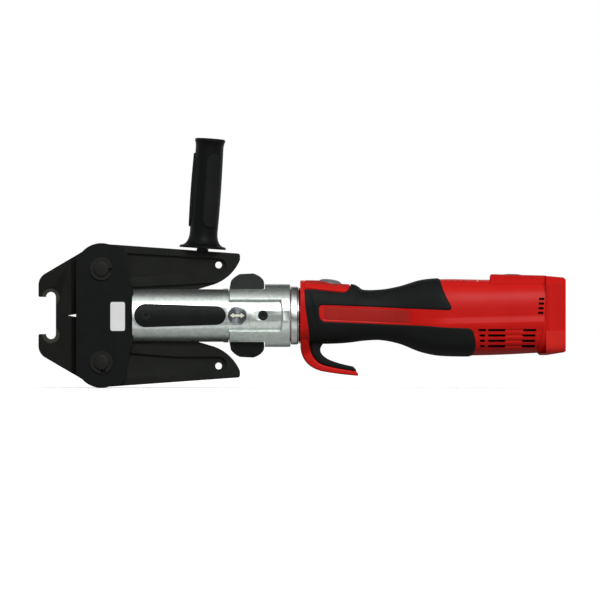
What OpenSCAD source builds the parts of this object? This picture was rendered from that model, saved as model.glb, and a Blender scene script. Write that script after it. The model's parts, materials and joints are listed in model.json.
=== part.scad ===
// Inline battery press tool with a two-arm ring jaw head.
// X runs along the tool axis from the hooks to the battery end, Y goes across and Z is up.
// The origin lies on the tool axis, midway between the two hook seats. Sizes are in millimetres.

/* [Jaw arms] */
// Radius of the round seat in each hook
seat_r = 5.25; // [4.5:0.25:6]
// Height of each hook seat above the tool axis
seat_z = 19.5; // [18:0.5:21]
// How far each hook reaches ahead of its seat
hook_reach = 13; // [11:0.5:15]
// Thickness of the hook ends across the tool
hook_w = 38; // [34:1:42]
// Thickness of the arms between the plates
arm_w = 18; // [17:0.5:20]
// Thickness of the arm web inside its pockets
web_w = 12; // [11:0.5:14]
// Radius of the side plates round each pivot
boss_r = 27; // [25:0.5:29]
// Rise of the front hook edge in degrees
front_slope = 30.5; // [29:0.5:33]
// Fall of the outer lever edge in degrees
lever_slope = 4; // [3:0.5:5]
// Length of the levers behind their pins
lever_l = 145.5; // [141:0.5:148]
// Radius of the hollow under each lever end
hollow_r = 46; // [44:1:48]
// Height of the inner lever edge above the axis
lever_z = 30; // [29.5:0.5:32]
// Thickness of the outer lever flange
flange_t = 8; // [6:0.5:9]
// Radius of the lanyard hole in each lever
lanyard_r = 3.5; // [2.5:0.25:4.5]
// Turn of each arm when the hooks are open, in degrees
open_deg = 3; // [1:0.5:3]

/* [Side plates and pins] */
// Thickness of each side plate
plate_t = 10; // [8:0.5:11]
// Front edge of the side plates
plate_front_x = 26.4; // [25.2:0.2:28]
// Rear edge of the side plates on the axis
plate_rear_x = 85; // [83:0.5:87]
// Place of the jaw pins along the tool
pin_x = 53; // [51:0.5:55]
// Height of the jaw pins above the axis
pin_z = 49; // [47:0.5:51]
// Radius of the jaw pin shank
pin_r = 8; // [7:0.25:8.5]
// Outer radius of the clips on the jaw pins
clip_r = 12; // [11:0.25:13]

/* [Ram] */
// Travel of the ram from closed to open hooks
stroke = 36; // [30:1:36]
// Radius of the jaw rollers
roller_r = 12; // [11:0.25:12.5]
// Width of the jaw rollers
roller_w = 10; // [8:0.5:10.5]
// Place of the rollers with the hooks closed
roller_x = 72; // [70:0.5:73]
// Radius of the roller axles
axle_r = 5; // [4:0.25:6]
// Radius of the ram rod
rod_r = 12; // [11:0.25:12]
// Radius of the hydraulic piston
piston_r = 16.4; // [15.5:0.1:16.4]
// Length of the piston
piston_l = 14; // [12:0.5:15]

/* [Barrel and coupling] */
// Radius of the barrel
barrel_r = 28.35; // [27.9:0.05:28.7]
// How far the collar laps over the barrel end
collar_lap = 21; // [20:0.5:22]
// Wall of the coupling collar
collar_wall = 4.5; // [4:0.25:5.5]
// How far the levers reach over the coupling collar
lever_lap = 11.5; // [10.5:0.5:12.5]
// Length of the coupling collar
collar_l = 64.5; // [63:0.5:66]
// Half height of the collar windows at the barrel surface
window_z = 15; // [13:0.5:16]
// How far the flats under the release tabs lie below the barrel surface
flat_drop = 0.55; // [0.35:0.05:0.95]
// Height of the release tabs above their flats
tab_h = 16.4; // [13:0.2:16.6]
// Length of the release tabs along the tool
tab_l = 36.6; // [33:0.2:36.8]
// Width of the release tabs across the tool
tab_w = 24; // [18:0.5:24.5]
// Inward travel of the release tabs
tab_travel = 2; // [1:0.25:2.2]
// Radius of the lock button
button_r = 9.8; // [8:0.2:10]
// Inward travel of the lock button
button_travel = 2.5; // [1:0.25:2.75]
// Radius of the neck ring
neck_r = 30.5; // [29.5:0.25:31.5]
// Length of the neck ring
neck_l = 8; // [6:0.2:9]

/* [Side handle] */
// Place of the side handle along the lever
handle_x = 159; // [155:0.5:163]
// Length of the side handle from flange to end
handle_l = 116; // [100:1:125]
// Radius of the side handle grip at its middle
handle_r = 15.2; // [13.5:0.1:17]
// Radius of the side handle flange
handle_flange_r = 24.5; // [21:0.25:26]
// Gap between the lever and the handle flange
handle_gap = 2.4; // [2:0.2:5]
// Radius of the threaded handle holes
thread_r = 4.25; // [3.5:0.25:4.5]

/* [Drive housing] */
// Top of the nose above the axis
nose_top = 37; // [35:0.5:39]
// Bottom of the nose below the axis
nose_low = 30; // [29.5:0.5:32]
// Half width of the nose
nose_half_w = 33; // [32:0.5:36]
// Top of the grip waist above the axis
waist_top = 27.4; // [27:0.2:30]
// Bottom of the grip waist below the axis
waist_low = 26; // [25.8:0.2:29]
// Half width of the grip waist
waist_half_w = 26.5; // [26:0.5:30]
// Top of the motor housing above the axis
motor_top = 38.6; // [37.5:0.2:41]
// Bottom of the motor housing below the axis
motor_low = 42.6; // [40:0.2:45]
// Half width of the motor housing
motor_half_w = 37.5; // [36:0.5:40]
// Length of the battery dock
dock_l = 20.7; // [19.5:0.1:23]
// Half height of the battery dock
dock_half_z = 41.6; // [40:0.2:43]
// Half width of the battery dock
dock_half_w = 39; // [37.5:0.5:41]
// Wall of the housing shells
wall = 3; // [2.5:0.1:3.2]
// Thickness of the soft grip layer
grip_t = 1.2; // [0.8:0.1:1.6]
// Width of the finger hook across the tool
guard_w = 24; // [18:1:28]
// Radius of the thumb button
thumb_r = 12.6; // [11:0.2:13.4]
// Travel of the thumb button
thumb_travel = 2.5; // [1.5:0.25:2.75]

/* [Drive inside] */
// Length of the pump
pump_l = 52; // [48:0.5:58]
// Length of the gear case
case_l = 32; // [30:0.5:36]
// Length of the motor core
motor_l = 56; // [48:0.5:64]
// Width of the control board
board_w = 52; // [44:1:54]
// Height of the control board
board_h = 54; // [46:1:56]

/* [Battery rails] */
// Width of the contact block
contact_w = 36; // [30:0.5:40]
// Height of the contact block
contact_h = 28; // [22:0.5:30]
// Half width of the rail slot
slot_half_w = 31; // [28:0.5:33]
// Half width of the opening between the rail lips
lip_half_w = 26; // [22:0.5:27]
// Depth of the rail slot from the rear face
slot_depth = 11.5; // [10:0.5:12.5]
// Thickness of the rail lips
lip_t = 4; // [3:0.25:5]

/* [Hidden] */
$fn = 96;
// Gaps: between faces that pass each other, round a shaft, and between seated faces
free_gap = 0.35;
run_gap = 0.05;
seat_gap = 0.1;

// Collar radius and height of the tab flats, both from the barrel
collar_r = barrel_r + 0.15 + collar_wall;
flat_z = barrel_r - flat_drop;

// Places along the axis, each from its neighbour
barrel_front_x = plate_rear_x + 0.4;
lever_end_x = pin_x + lever_l;
collar_front_x = lever_end_x - lever_lap;
collar_rear_x = collar_front_x + collar_l;
joint_x = collar_front_x + collar_lap;
neck_rear_x = collar_rear_x + 0.3 + neck_l;
nose_x = neck_rear_x + 1.8;

// Jaw arm geometry, seen from the side as X and Z
pin_at = [pin_x, pin_z];
split = 0.16;
touch_x = 18;
wedge_x = roller_x - 22;
wedge_deg = 9;
roller_z = roller_r + 0.3;
cam_r = roller_r + free_gap;
cam_z = roller_z + cam_r;
corner_r = 14;
lever_corner = 2.5;
shoulder_x = plate_front_x - 4.3;
hollow_x = lever_end_x - hollow_r + 3.5;
hollow_end = acos((lever_end_x - hollow_x) / hollow_r);
lever_r = boss_r - 0.7;
front_r = boss_r - 1.3;
lever_start = pin_at + lever_r * [sin(lever_slope), cos(lever_slope)];
front_start = pin_at + front_r * [-sin(front_slope), cos(front_slope)];
corner_c = [-hook_reach + corner_r, front_start.y
    + (sin(front_slope) * (-hook_reach + corner_r - front_start.x) - corner_r) / cos(front_slope)];
lanyard_at = [lever_end_x - 22.5, 53];
seat_rim_r = seat_r + 4.5;
seat_rim_depth = 1.5;

// Side plates
plate_in = arm_w / 2 + free_gap;
plate_out = plate_in + plate_t;
plate_edge_r = 300;
tongue_x = plate_rear_x + 31;
tongue_z = 10;
clip_t = 1.6;

// Barrel, cylinder and ram
slot_half = arm_w / 2 + 0.4;
slot_z = roller_z + roller_r - 2;
slot_end_x = collar_front_x - 6;
strip_front_x = barrel_front_x + 14.4;
strip_rear_x = collar_front_x - 13.2;
strip_front_r = 12.2;
strip_rear_r = 9.6;
strip_depth = 1.6;
rod_wall_r = rod_r + 2.5;
cyl_front_x = joint_x + 0.3;
cyl_bore_r = piston_r + run_gap;
cyl_nose_r = 20.5;
cyl_neck_r = 27;
cyl_floor_x = cyl_front_x + 8;
piston_x = cyl_floor_x + 24;
cyl_rear_x = piston_x + piston_l + stroke + 9.3;
carriage_rear_x = roller_x + 30;
button_x = collar_front_x + 8.6;
button_depth = 0.361 * (barrel_r - rod_wall_r);
tab_x = collar_front_x + 0.4;
tab_spring_x = tab_x + 9.5;
gland_x = joint_x + 14.6;

// Side handle axis on the upper lever
handle_foot = lever_start + (handle_x - lever_start.x) * [1, -tan(lever_slope)];

// Drive layout along the axis
bezel_t = 3.4;
shell_x = nose_x + bezel_t + seat_gap;
pump_front_x = cyl_rear_x + 0.4;
pump_rear_x = pump_front_x + pump_l;
pump_r = 18;
lobe_x = pump_rear_x - 12;
case_front_x = pump_rear_x + 0.6;
case_rear_x = case_front_x + case_l;
case_r = 19.5;
ring_front_x = case_front_x + 7;
ring_rear_x = case_rear_x - 9;
bearing_front_x = case_rear_x + 1;
stator_front_x = bearing_front_x + 6;
stator_rear_x = stator_front_x + motor_l;
stator_r = 26.5;
rotor_r = 14.2;
shaft_r = 3;
fan_x = stator_rear_x + 4;
fan_r = 26;
bearing_rear_x = fan_x + 13;
bearing_r = 9;
bearing_w = 5;
board_x = bearing_rear_x + 15;
dock_x = board_x + 39.9;
rear_x = dock_x + dock_l;

// Planetary stage
gear_m = 0.8;
sun_n = 12;
planet_n = 15;
ring_n = sun_n + 2 * planet_n;
planet_c = gear_m * (sun_n + planet_n) / 2;
tooth_thin = 0.12;

// Housing skin under the grip layer: place, top, bottom, half width and squareness of the section
skin_keys = [
    [nose_x, nose_top - grip_t, -nose_low + grip_t, nose_half_w - grip_t, 2.6],
    [nose_x + 22, nose_top - 0.5 - grip_t, -nose_low + grip_t, nose_half_w - grip_t, 2.6],
    [nose_x + 42, nose_top - 3.6 - grip_t, -nose_low + 0.6 + grip_t, nose_half_w - 1.5 - grip_t, 2.5],
    [nose_x + 55, nose_top - 5 - grip_t, -nose_low + 1.8 + grip_t, waist_half_w + 2.8 - grip_t, 2.4],
    [nose_x + 65, waist_top + 0.6 - grip_t, -waist_low - 0.8 + grip_t, waist_half_w + 0.8 - grip_t, 2.4],
    [nose_x + 84, waist_top - grip_t, -waist_low + grip_t, waist_half_w - grip_t, 2.3],
    [nose_x + 104.5, waist_top + 3.6 - grip_t, -waist_low - 4 + grip_t, waist_half_w + 2.4 - grip_t, 2.4],
    [stator_front_x - 4, motor_top - 1.2 - grip_t, -motor_low + 4.2 + grip_t, motor_half_w - 3.5 - grip_t,
        2.6],
    [stator_front_x + 18, motor_top - 0.4, -motor_low + grip_t, motor_half_w - 0.5, 2.8],
    [stator_rear_x + 12, motor_top - 1, -motor_low + 1, motor_half_w, 3],
    [dock_x, motor_top - 1.2, -motor_low + 3.8, motor_half_w - 0.5, 3.2]
];
ring_n_points = 40;
skin_steps = 36;

// Thumb button axis
thumb_at = [nose_x + 31.4, 0, nose_top - 2.6];
thumb_tilt = 7;

// Points of an arc from angle a to angle b
function arc(c, r, a, b, n) = [for (i = [0:n]) c + r * [cos(a + (b - a) * i / n), sin(a + (b - a) * i / n)]];

// Points of a curve that leaves p towards q and arrives at s
function bend(p, q, s, n) = [for (i = [0:n]) let (t = i / n) p * (1 - t) ^ 2 + 2 * q * t * (1 - t) + s * t ^ 2];

// Point p turned about the jaw pin by a degrees
function about_pin(p, a) = pin_at + [
    (p - pin_at).x * cos(a) - (p - pin_at).y * sin(a),
    (p - pin_at).x * sin(a) + (p - pin_at).y * cos(a)];

// Height of the outer lever edge
function lever_top(x) = lever_start.y - (x - lever_start.x) * tan(lever_slope);

// Smooth value of column c of the skin keys at x
function key_slope(i, c) = let (n = len(skin_keys) - 1, a = skin_keys[max(i - 1, 0)],
    b = skin_keys[min(i + 1, n)])
    (b[c] - a[c]) / (b[0] - a[0]);
function key_index(x, i = 0) = i >= len(skin_keys) - 2 || x < skin_keys[i + 1][0] ? i : key_index(x, i + 1);
function skin_value(x, c) = let (
        i = key_index(x), a = skin_keys[i], b = skin_keys[i + 1], h = b[0] - a[0],
        t = min(max((x - a[0]) / h, 0), 1))
    (2 * t ^ 3 - 3 * t ^ 2 + 1) * a[c] + (t ^ 3 - 2 * t ^ 2 + t) * h * key_slope(i, c)
    + (3 * t ^ 2 - 2 * t ^ 3) * b[c] + (t ^ 3 - t ^ 2) * h * key_slope(i + 1, c);

// Power of the size of v that keeps its sign
function signed_power(v, p) = sign(v) * abs(v) ^ p;

// Point of the housing skin at place x and section angle a, set in by d
function skin_point(x, a, d) = let (
        top = skin_value(x, 1) - d, low = skin_value(x, 2) + d, w = skin_value(x, 3) - d,
            p = 2 / skin_value(x, 4))
    [x, w * signed_power(cos(a), p), (top + low) / 2 + (top - low) / 2 * signed_power(sin(a), p)];

// Section angle on the front side where the skin at x has the height z
function skin_angle(x, z) = let (top = skin_value(x, 1), low = skin_value(x, 2), n = skin_value(x, 4),
        v = min(max((2 * z - top - low) / (top - low), -1), 1))
    180 - asin(signed_power(v, n / 2));

// Points of a gear outline, each tooth widened by fat at the pitch circle
function involute(a) = tan(a) - a * PI / 180;
function gear_half(r, n, fat) = let (rp = gear_m * n / 2, rb = rp * cos(25))
    90 / n + (fat / 2 / rp + involute(25) - involute(acos(min(rb / r, 1)))) * 180 / PI;
function gear_points(n, r_root, r_tip, fat) = let (rb = gear_m * n / 2 * cos(25), r_low = max(r_root, rb))
    [for (k = [0:n - 1]) let (c = 360 * k / n)
        each concat(
            [[r_root, c - gear_half(r_low, n, fat)]],
            [for (i = [0:4]) let (r = r_low + (r_tip - r_low) * i / 4) [r, c - gear_half(r, n, fat)]],
            [for (i = [4:-1:0]) let (r = r_low + (r_tip - r_low) * i / 4) [r, c + gear_half(r, n, fat)]],
            [[r_root, c + gear_half(r_low, n, fat)]])];
function polar(list) = [for (p = list) p[0] * [cos(p[1]), sin(p[1])]];

// Rings of a round wire wound as a helix about Z
function coil_ring(r, wire, pitch, turns, i, steps) = let (a = 360 * turns * i / steps,
    z = pitch * turns * i / steps)
    [for (k = [0:5]) let (b = 60 * k)
        [(r + wire * cos(b)) * cos(a), (r + wire * cos(b)) * sin(a), z + wire * sin(b)]];

module coil(r, wire, pitch, turns) {
    steps = ceil(turns * 12);
    points = [for (i = [0:steps]) each coil_ring(r, wire, pitch, turns, i, steps)];
    sides = [for (i = [0:steps - 1], k = [0:5]) each [
        [6 * i + k, 6 * i + 6 + k, 6 * i + (k + 1) % 6],
        [6 * i + (k + 1) % 6, 6 * i + 6 + k, 6 * i + 6 + (k + 1) % 6]]];
    polyhedron(points, concat(sides, [[for (k = [0:5]) k]], [[for (k = [5:-1:0]) 6 * steps + k]]));
}

// Closed solid between two grids of points with the same rows and columns
module grid_solid(outer, inner) {
    m = len(outer);
    n = len(outer[0]);
    points = concat([for (row = outer) each row], [for (row = inner) each row]);
    k = m * n;
    faces = concat(
        [for (i = [0:m - 2], j = [0:n - 2]) each [[i * n + j, i * n + n + j, i * n + j + 1],
            [i * n + j + 1, i * n + n + j, i * n + n + j + 1]]],
        [for (i = [0:m - 2], j = [0:n - 2]) each [[k + i * n + j, k + i * n + j + 1, k + i * n + n + j],
            [k + i * n + j + 1, k + i * n + n + j + 1, k + i * n + n + j]]],
        [for (i = [0:m - 2]) each [[i * n, k + i * n, i * n + n], [i * n + n, k + i * n, k + i * n + n]]],
        [for (i = [0:m - 2]) let (q = i * n + n - 1) each [[q, q + n, k + q], [q + n, k + q + n, k + q]]],
        [for (j = [0:n - 2]) each [[j, j + 1, k + j], [j + 1, k + j + 1, k + j]]],
        [for (j = [0:n - 2]) let (q = (m - 1) * n + j) each [[q, k + q, q + 1], [q + 1, k + q, k + q + 1]]]);
    polyhedron(points, faces);
}

// Closed ring solid from loops of points, the last loop joined to the first
module loop_solid(loops) {
    m = len(loops);
    n = len(loops[0]);
    polyhedron([for (loop = loops) each loop], [for (i = [0:m - 1], j = [0:n - 1])
        let (a = i * n + j, b = i * n + (j + 1) % n, c = (i + 1) % m * n + j,
            d = (i + 1) % m * n + (j + 1) % n)
        each [[a, c, b], [b, c, d]]]);
}

// Solid with a side outline in X and Z, w wide and centred on the tool plane
module side_solid(w) rotate([90, 0, 0]) linear_extrude(w, center = true) children();

// Round bar along the tool axis direction
module bar_x(r, x0, x1) translate([x0, 0, 0]) rotate([0, 90, 0]) cylinder(r = r, h = x1 - x0);

// Round bar across the tool from y0 to y1
module bar_y(r, y0, y1) translate([0, y0, 0]) rotate([-90, 0, 0]) cylinder(r = r, h = y1 - y0);

// Turned part about the tool axis from radius and place pairs
module turned_x(points) rotate([0, 90, 0]) rotate_extrude() polygon(points);

// Moves its children to the handle seat, Z standing out of the upper lever edge
module at_handle() translate([handle_foot.x, 0, handle_foot.y]) rotate([0, lever_slope, 0]) children();

// Jaw arms

module arm_outline() polygon(concat(
    [[seat_r, split / 2], [touch_x, split / 2], [wedge_x, split / 2 + (wedge_x - touch_x) * tan(wedge_deg)]],
    arc([roller_x, roller_z], cam_r, 190, 90, 10),
    [for (f = [0.25:0.25:1]) about_pin([roller_x + stroke * f, cam_z], open_deg * f)],
    [[roller_x + stroke + 10, lever_z - 4], [hollow_x - 6, lever_z - 3.8]],
    arc([hollow_x, lever_z + hollow_r], hollow_r, -75, -hollow_end, 12),
    arc([lever_end_x - lever_corner, lever_top(lever_end_x) - lever_corner], lever_corner, 0, 90, 5),
    [for (f = [0:1 / 18:1.001]) let (a = 90 - lever_slope + (lever_slope + front_slope) * f)
        pin_at + (lever_r + (front_r - lever_r) * f) * [cos(a), sin(a)]],
    arc(corner_c, corner_r, 90 + front_slope, 180, 10),
    [[-hook_reach, seat_z + 1], [-hook_reach + 1, seat_z]],
    arc([0, seat_z], seat_r, 180, 0, 24)));

module pocket_outline() polygon(concat(
    [[pin_x + boss_r, 39.2], [pin_x + 78, 43.3]],
    arc(lanyard_at - [0, 1.5], 8.2, -90, 86, 16),
    [[pin_x + boss_r, lever_top(pin_x + boss_r) - flange_t]]));

// Inner part of the lever, thin enough for the barrel slot
module slot_outline() polygon([[barrel_front_x - 1.2, 0], [lever_end_x, 0], [lever_end_x, lever_z + 5.8],
    [barrel_front_x - 1.2, lever_z - 0.2]]);

module jaw_arm() difference() {
    union() {
        side_solid(arm_w) arm_outline();
        side_solid(hook_w) intersection() {
            arm_outline();
            translate([-hook_reach - 1, 0]) square([hook_reach + 1 + shoulder_x, 100]);
        }
    }
    for (s = [-1, 1]) {
        translate([0, s * (web_w / 2 + 10), 0]) side_solid(20) {
            pocket_outline();
            slot_outline();
        }
        translate([0, 0, seat_z]) bar_y(seat_rim_r, s * hook_w / 2 - seat_rim_depth,
            s * hook_w / 2 + seat_rim_depth);
    }
    translate([pin_x, 0, pin_z]) {
        bar_y(pin_r + run_gap, -hook_w, hook_w);
        bar_y(pin_r + 5, arm_w / 2 - 5.8, hook_w);
    }
    translate([lanyard_at.x, 0, lanyard_at.y]) bar_y(lanyard_r, -hook_w, hook_w);
    at_handle() {
        translate([0, 0, -15]) cylinder(r = thread_r, h = 16);
        translate([0, 0, -0.6]) cylinder(r = thread_r + 2.4, h = 4);
    }
}

module upper_jaw() color("#1f2120") jaw_arm();

module lower_jaw() color("#1f2120") mirror([0, 0, 1]) jaw_arm();

// Side plates, pins and springs

module plate_half() polygon(concat(
    [[plate_front_x, 0]],
    arc([plate_rear_x - plate_edge_r, 0], plate_edge_r, 0, 12.4, 12),
    arc([plate_rear_x - 17.4, pin_z + boss_r - 13.3], 11, 25, 84, 8),
    arc(pin_at, boss_r, 90 - lever_slope - acos(lever_r / boss_r),
        90 + front_slope + acos(front_r / boss_r), 22),
    [[plate_front_x, front_start.y - (front_start.x - plate_front_x) * tan(front_slope)]]));

module side_plate(s) difference() {
    union() {
        translate([0, s * (plate_in + plate_t / 2), 0]) side_solid(plate_t) {
            plate_half();
            mirror([0, 1]) plate_half();
        }
        translate([plate_rear_x - 12, s > 0 ? plate_in : -plate_out, -tongue_z])
            cube([tongue_x - plate_rear_x + 12, plate_t, 2 * tongue_z]);
    }
    for (z = [-pin_z, pin_z]) translate([pin_x, 0, z]) bar_y(pin_r + 0.02, -plate_out - 1, plate_out + 1);
    translate([strip_front_x, 0, 0]) bar_y(2.5, -plate_out - 1, plate_out + 1);
}

module side_plate_front() color("#191b1a") side_plate(-1);

module side_plate_rear() color("#191b1a") side_plate(1);

// Half of the pin profile: a groove for a clip and a rounded end
pin_end = [[pin_r, plate_out + 0.2], [pin_r - 1, plate_out + 0.2], [pin_r - 1, plate_out + 0.4 + clip_t],
    [pin_r, plate_out + 0.4 + clip_t], [pin_r, plate_out + 3.4], [pin_r - 1, plate_out + 4.2], [0,
        plate_out + 4.2]];

module jaw_pin() rotate([-90, 0, 0]) rotate_extrude() polygon(concat(pin_end,
    [for (i = [len(pin_end) - 1:-1:0]) [pin_end[i].x, -pin_end[i].y]]));

module jaw_pins() color("#2c2d2b") for (z = [-pin_z, pin_z]) translate([pin_x, 0, z]) jaw_pin();

// Open retaining clips on both ends of the pins
module pin_clips() color("#3a3c3b") for (s = [-1, 1], z = [-pin_z, pin_z])
    translate([pin_x, s * (plate_out + 0.3 + clip_t / 2), z]) rotate([0, z > 0 ? 10 : 80, 0]) difference() {
        bar_y(clip_r, -clip_t / 2, clip_t / 2);
        bar_y(pin_r - 1 + run_gap, -clip_t, clip_t);
        translate([0, -clip_t, -2.5]) cube([clip_r + 1, 2 * clip_t, 5]);
    }

// Wound springs round the pins that hold the hooks closed
module jaw_springs() color("#8a8c8d") for (z = [-pin_z, pin_z])
    translate([pin_x, arm_w / 2 - 4.7, z]) rotate([-90, 0, 0]) coil(pin_r + 2.4, 0.7, 1.9, 2);

// Blank white plate on the front side plate
module blank_label() color("#e8e8e6") translate([plate_rear_x - 22.6, -plate_out - 0.45,
    -16.2]) cube([15.4, 0.4, 30.4]);

// Barrel

module strip_outline(grow) {
    rise = asin((strip_front_r - strip_rear_r) / (strip_rear_x - strip_front_x));
    polygon(concat(
        arc([strip_front_x, 0], strip_front_r + grow, 90 - rise, 270 + rise, 24),
        arc([strip_rear_x, 0], strip_rear_r + grow, -90 + rise, 90 - rise, 20)));
}

module tab_flat(x0, x1) for (s = [-1, 1])
    translate([x0, -tab_w / 2 - 0.5, s > 0 ? flat_z - tab_travel - 0.5 : -40])
        cube([x1 - x0, tab_w + 1, 40 - flat_z + tab_travel + 0.5]);

module barrel() color("#c4c6c6") difference() {
    bar_x(barrel_r, barrel_front_x, joint_x);
    for (size = [[slot_half, slot_z], [web_w / 2 + 0.4, 40]])
        translate([barrel_front_x - 1, -size.x, -size.y])
            cube([slot_end_x - barrel_front_x + 1, 2 * size.x, 2 * size.y]);
    translate([barrel_front_x - 1, -plate_out - 0.05, -tongue_z - 0.05])
        cube([tongue_x - barrel_front_x + 1.3, 2 * plate_out + 0.1, 2 * tongue_z + 0.1]);
    bar_x(rod_r + run_gap, barrel_front_x + 2, joint_x + 1);
    intersection() {
        side_solid(80) strip_outline(0.2);
        difference() {
            bar_x(barrel_r + 5, barrel_front_x - 1, slot_end_x + 6);
            bar_x(barrel_r - strip_depth, barrel_front_x - 2, slot_end_x + 7);
        }
    }
    translate([strip_front_x, 0, 0]) bar_y(2.6, -40, 40);
    translate([button_x, 0, 0]) {
        bar_y(button_r + run_gap, -40, -barrel_r + button_depth + button_travel + 0.6);
        bar_y(4.4, -40, -rod_wall_r - 2);
    }
    tab_flat(tab_x - 1, joint_x + 1);
    for (s = [0, 1]) mirror([0, 0, s]) translate([tab_spring_x, 0, rod_wall_r + 2]) cylinder(r = 4.2, h = 20);
}

// Curved cover strips let into both sides of the barrel
module cover_strips() color("#222423") difference() {
    intersection() {
        bar_x(barrel_r + 0.5, barrel_front_x - 1, slot_end_x + 6);
        side_solid(80) strip_outline(0);
    }
    bar_x(barrel_r - strip_depth + 0.05, barrel_front_x - 2, slot_end_x + 7);
    for (s = [-1, 1]) translate([strip_front_x, 0, 0]) {
        bar_y(2.6, -40, 40);
        translate([0, s * (barrel_r + 0.6), 0]) rotate([s * 90, 0, 0]) cylinder(r1 = 4.95, r2 = 2.6, h = 2.2);
    }
}

module strip_screws() color("#4a4c4c") for (s = [0, 1]) mirror([0, s, 0]) translate([strip_front_x, 0,
    0]) difference() {
    rotate([90, 0, 0]) rotate_extrude() polygon([[0, plate_in + 0.5], [2.45, plate_in + 0.5],
        [2.45, barrel_r - 1.55], [4.75, barrel_r + 0.45], [0, barrel_r + 0.45]]);
    translate([0, -barrel_r - 1, 0]) rotate([-90, 0, 0]) cylinder(r = 1.9, h = 2.6, $fn = 6);
}

// Lock button with a raised double arrow on its face
module arrow_outline() polygon([[-6.4, 0], [-3.2, -2.6], [-3.2, -1], [3.2, -1], [3.2, -2.6], [6.4, 0],
    [3.2, 2.6], [3.2, 1], [-3.2, 1], [-3.2, 2.6]]);

module lock_button() color("#3c3e3e") translate([button_x, 0, 0]) {
    bar_y(button_r, -barrel_r, -barrel_r + button_depth);
    translate([0, -barrel_r - 0.15, 0]) side_solid(0.6) arrow_outline();
}

module lock_spring() color("#8a8c8d") translate([button_x, -rod_wall_r - 3, 0]) rotate([90, 0, 0])
    coil(3.2, 0.6, 1.3, (barrel_r - button_depth - rod_wall_r - 4.4) / 1.3);

// Coupling

module window_cut() {
    side_z = window_z + (collar_r - barrel_r) * 0.9;
    for (s = [0, 1]) mirror([0, s, 0]) rotate([90, 0, 0]) hull() {
        translate([collar_front_x - 1, -window_z + 2, barrel_r - 6])
            cube([collar_rear_x - collar_front_x - 11, 2 * window_z - 4, 0.1]);
        translate([collar_front_x - 1, -side_z - 2, collar_r + 2])
            cube([collar_rear_x - collar_front_x - 6, 2 * side_z + 4, 0.1]);
    }
}

module coupling_collar() color("#c9cbcb") difference() {
    turned_x([[barrel_r + 0.15, collar_front_x], [collar_r - 0.8, collar_front_x], [collar_r,
        collar_front_x + 0.8],
        [collar_r, collar_rear_x - 1], [collar_r - 1, collar_rear_x], [barrel_r + 0.15, collar_rear_x]]);
    window_cut();
    for (s = [-1, 1]) {
        translate([collar_front_x - 1, -40, s > 0 ? flat_z : -flat_z - 20]) cube([tab_l + 2, 80, 20]);
        translate([collar_rear_x - 7.4, s > 0 ? collar_r - 0.7 : -collar_r - 3.3, -5]) cube([6.2, 4, 10]);
    }
    tab_flat(collar_front_x - 1, collar_front_x + tab_l + 1);
}

// Release tabs that are pressed towards the axis
module tab_outline() polygon(concat(
    [[tab_x + tab_l - 0.2, flat_z + 0.2]],
    [[tab_x + tab_l, flat_z + 0.3 * tab_h]],
    bend([tab_x + tab_l - 0.6, flat_z + 0.52 * tab_h], [tab_x + tab_l - 3.6, flat_z + 0.86 * tab_h],
        [tab_x + 0.68 * tab_l, flat_z + tab_h], 6),
    bend([tab_x + 0.3 * tab_l, flat_z + 0.96 * tab_h], [tab_x + 0.12 * tab_l, flat_z + 0.78 * tab_h],
        [tab_x + 1.5, flat_z + 0.5 * tab_h], 6),
    [[tab_x, flat_z + 0.2]]));

module release_tab() difference() {
    union() {
        side_solid(tab_w) tab_outline();
        translate([tab_x + 1, -tab_w / 2, flat_z - 0.4]) cube([tab_l - 2.4, tab_w, 1]);
    }
    bar_x(barrel_r + 0.15, tab_x - 1, tab_x + tab_l + 1);
}

module upper_tab() color("#252727") release_tab();

module lower_tab() color("#252727") mirror([0, 0, 1]) release_tab();

module tab_spring() translate([tab_spring_x, 0, rod_wall_r + 2.7])
    coil(3.2, 0.55, 2.09, (flat_z - rod_wall_r - 3.9) / 2.09);

module upper_tab_spring() color("#8a8c8d") tab_spring();

module lower_tab_spring() color("#8a8c8d") mirror([0, 0, 1]) tab_spring();

module cylinder_body() color("#b4b6b6") difference() {
    turned_x([[rod_r + run_gap, cyl_front_x], [barrel_r, cyl_front_x], [barrel_r, collar_rear_x + 0.1],
        [cyl_neck_r, collar_rear_x + 0.1], [cyl_neck_r, nose_x + 0.2], [cyl_nose_r, nose_x + 0.2],
        [cyl_nose_r, cyl_rear_x], [3.1, cyl_rear_x], [3.1, cyl_rear_x - 7], [cyl_bore_r, cyl_rear_x - 7],
        [cyl_bore_r, cyl_floor_x], [rod_r + run_gap, cyl_floor_x]]);
    tab_flat(cyl_front_x - 1, tab_x + tab_l + 0.8);
    for (s = [0, 1]) mirror([0, s, 0]) translate([gland_x, 0, 0]) {
        bar_y(5.25, -40, -barrel_r + 3.4);
        bar_y(3, -40, -cyl_bore_r - 3);
    }
}

// Cap screws seen through the collar windows
module gland_screws() color("#1d1e1e") for (s = [0, 1]) mirror([0, s, 0]) translate([gland_x, 0,
    0]) difference() {
    union() {
        bar_y(5.2, -barrel_r + 0.1, -barrel_r + 3.3);
        bar_y(2.95, -barrel_r + 3, -cyl_bore_r - 3.5);
    }
    translate([0, -barrel_r - 1, 0]) rotate([-90, 0, 0]) cylinder(r = 2.6, h = 3, $fn = 6);
}

module neck_ring() color("#cfd1d1") turned_x([[cyl_neck_r + run_gap, collar_rear_x + 0.3],
    [neck_r - 0.6, collar_rear_x + 0.3], [neck_r, collar_rear_x + 0.9], [neck_r, neck_rear_x - 1.4],
    [neck_r - 0.8, neck_rear_x - 0.6], [neck_r - 0.8, neck_rear_x], [cyl_neck_r + run_gap, neck_rear_x]]);

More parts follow.
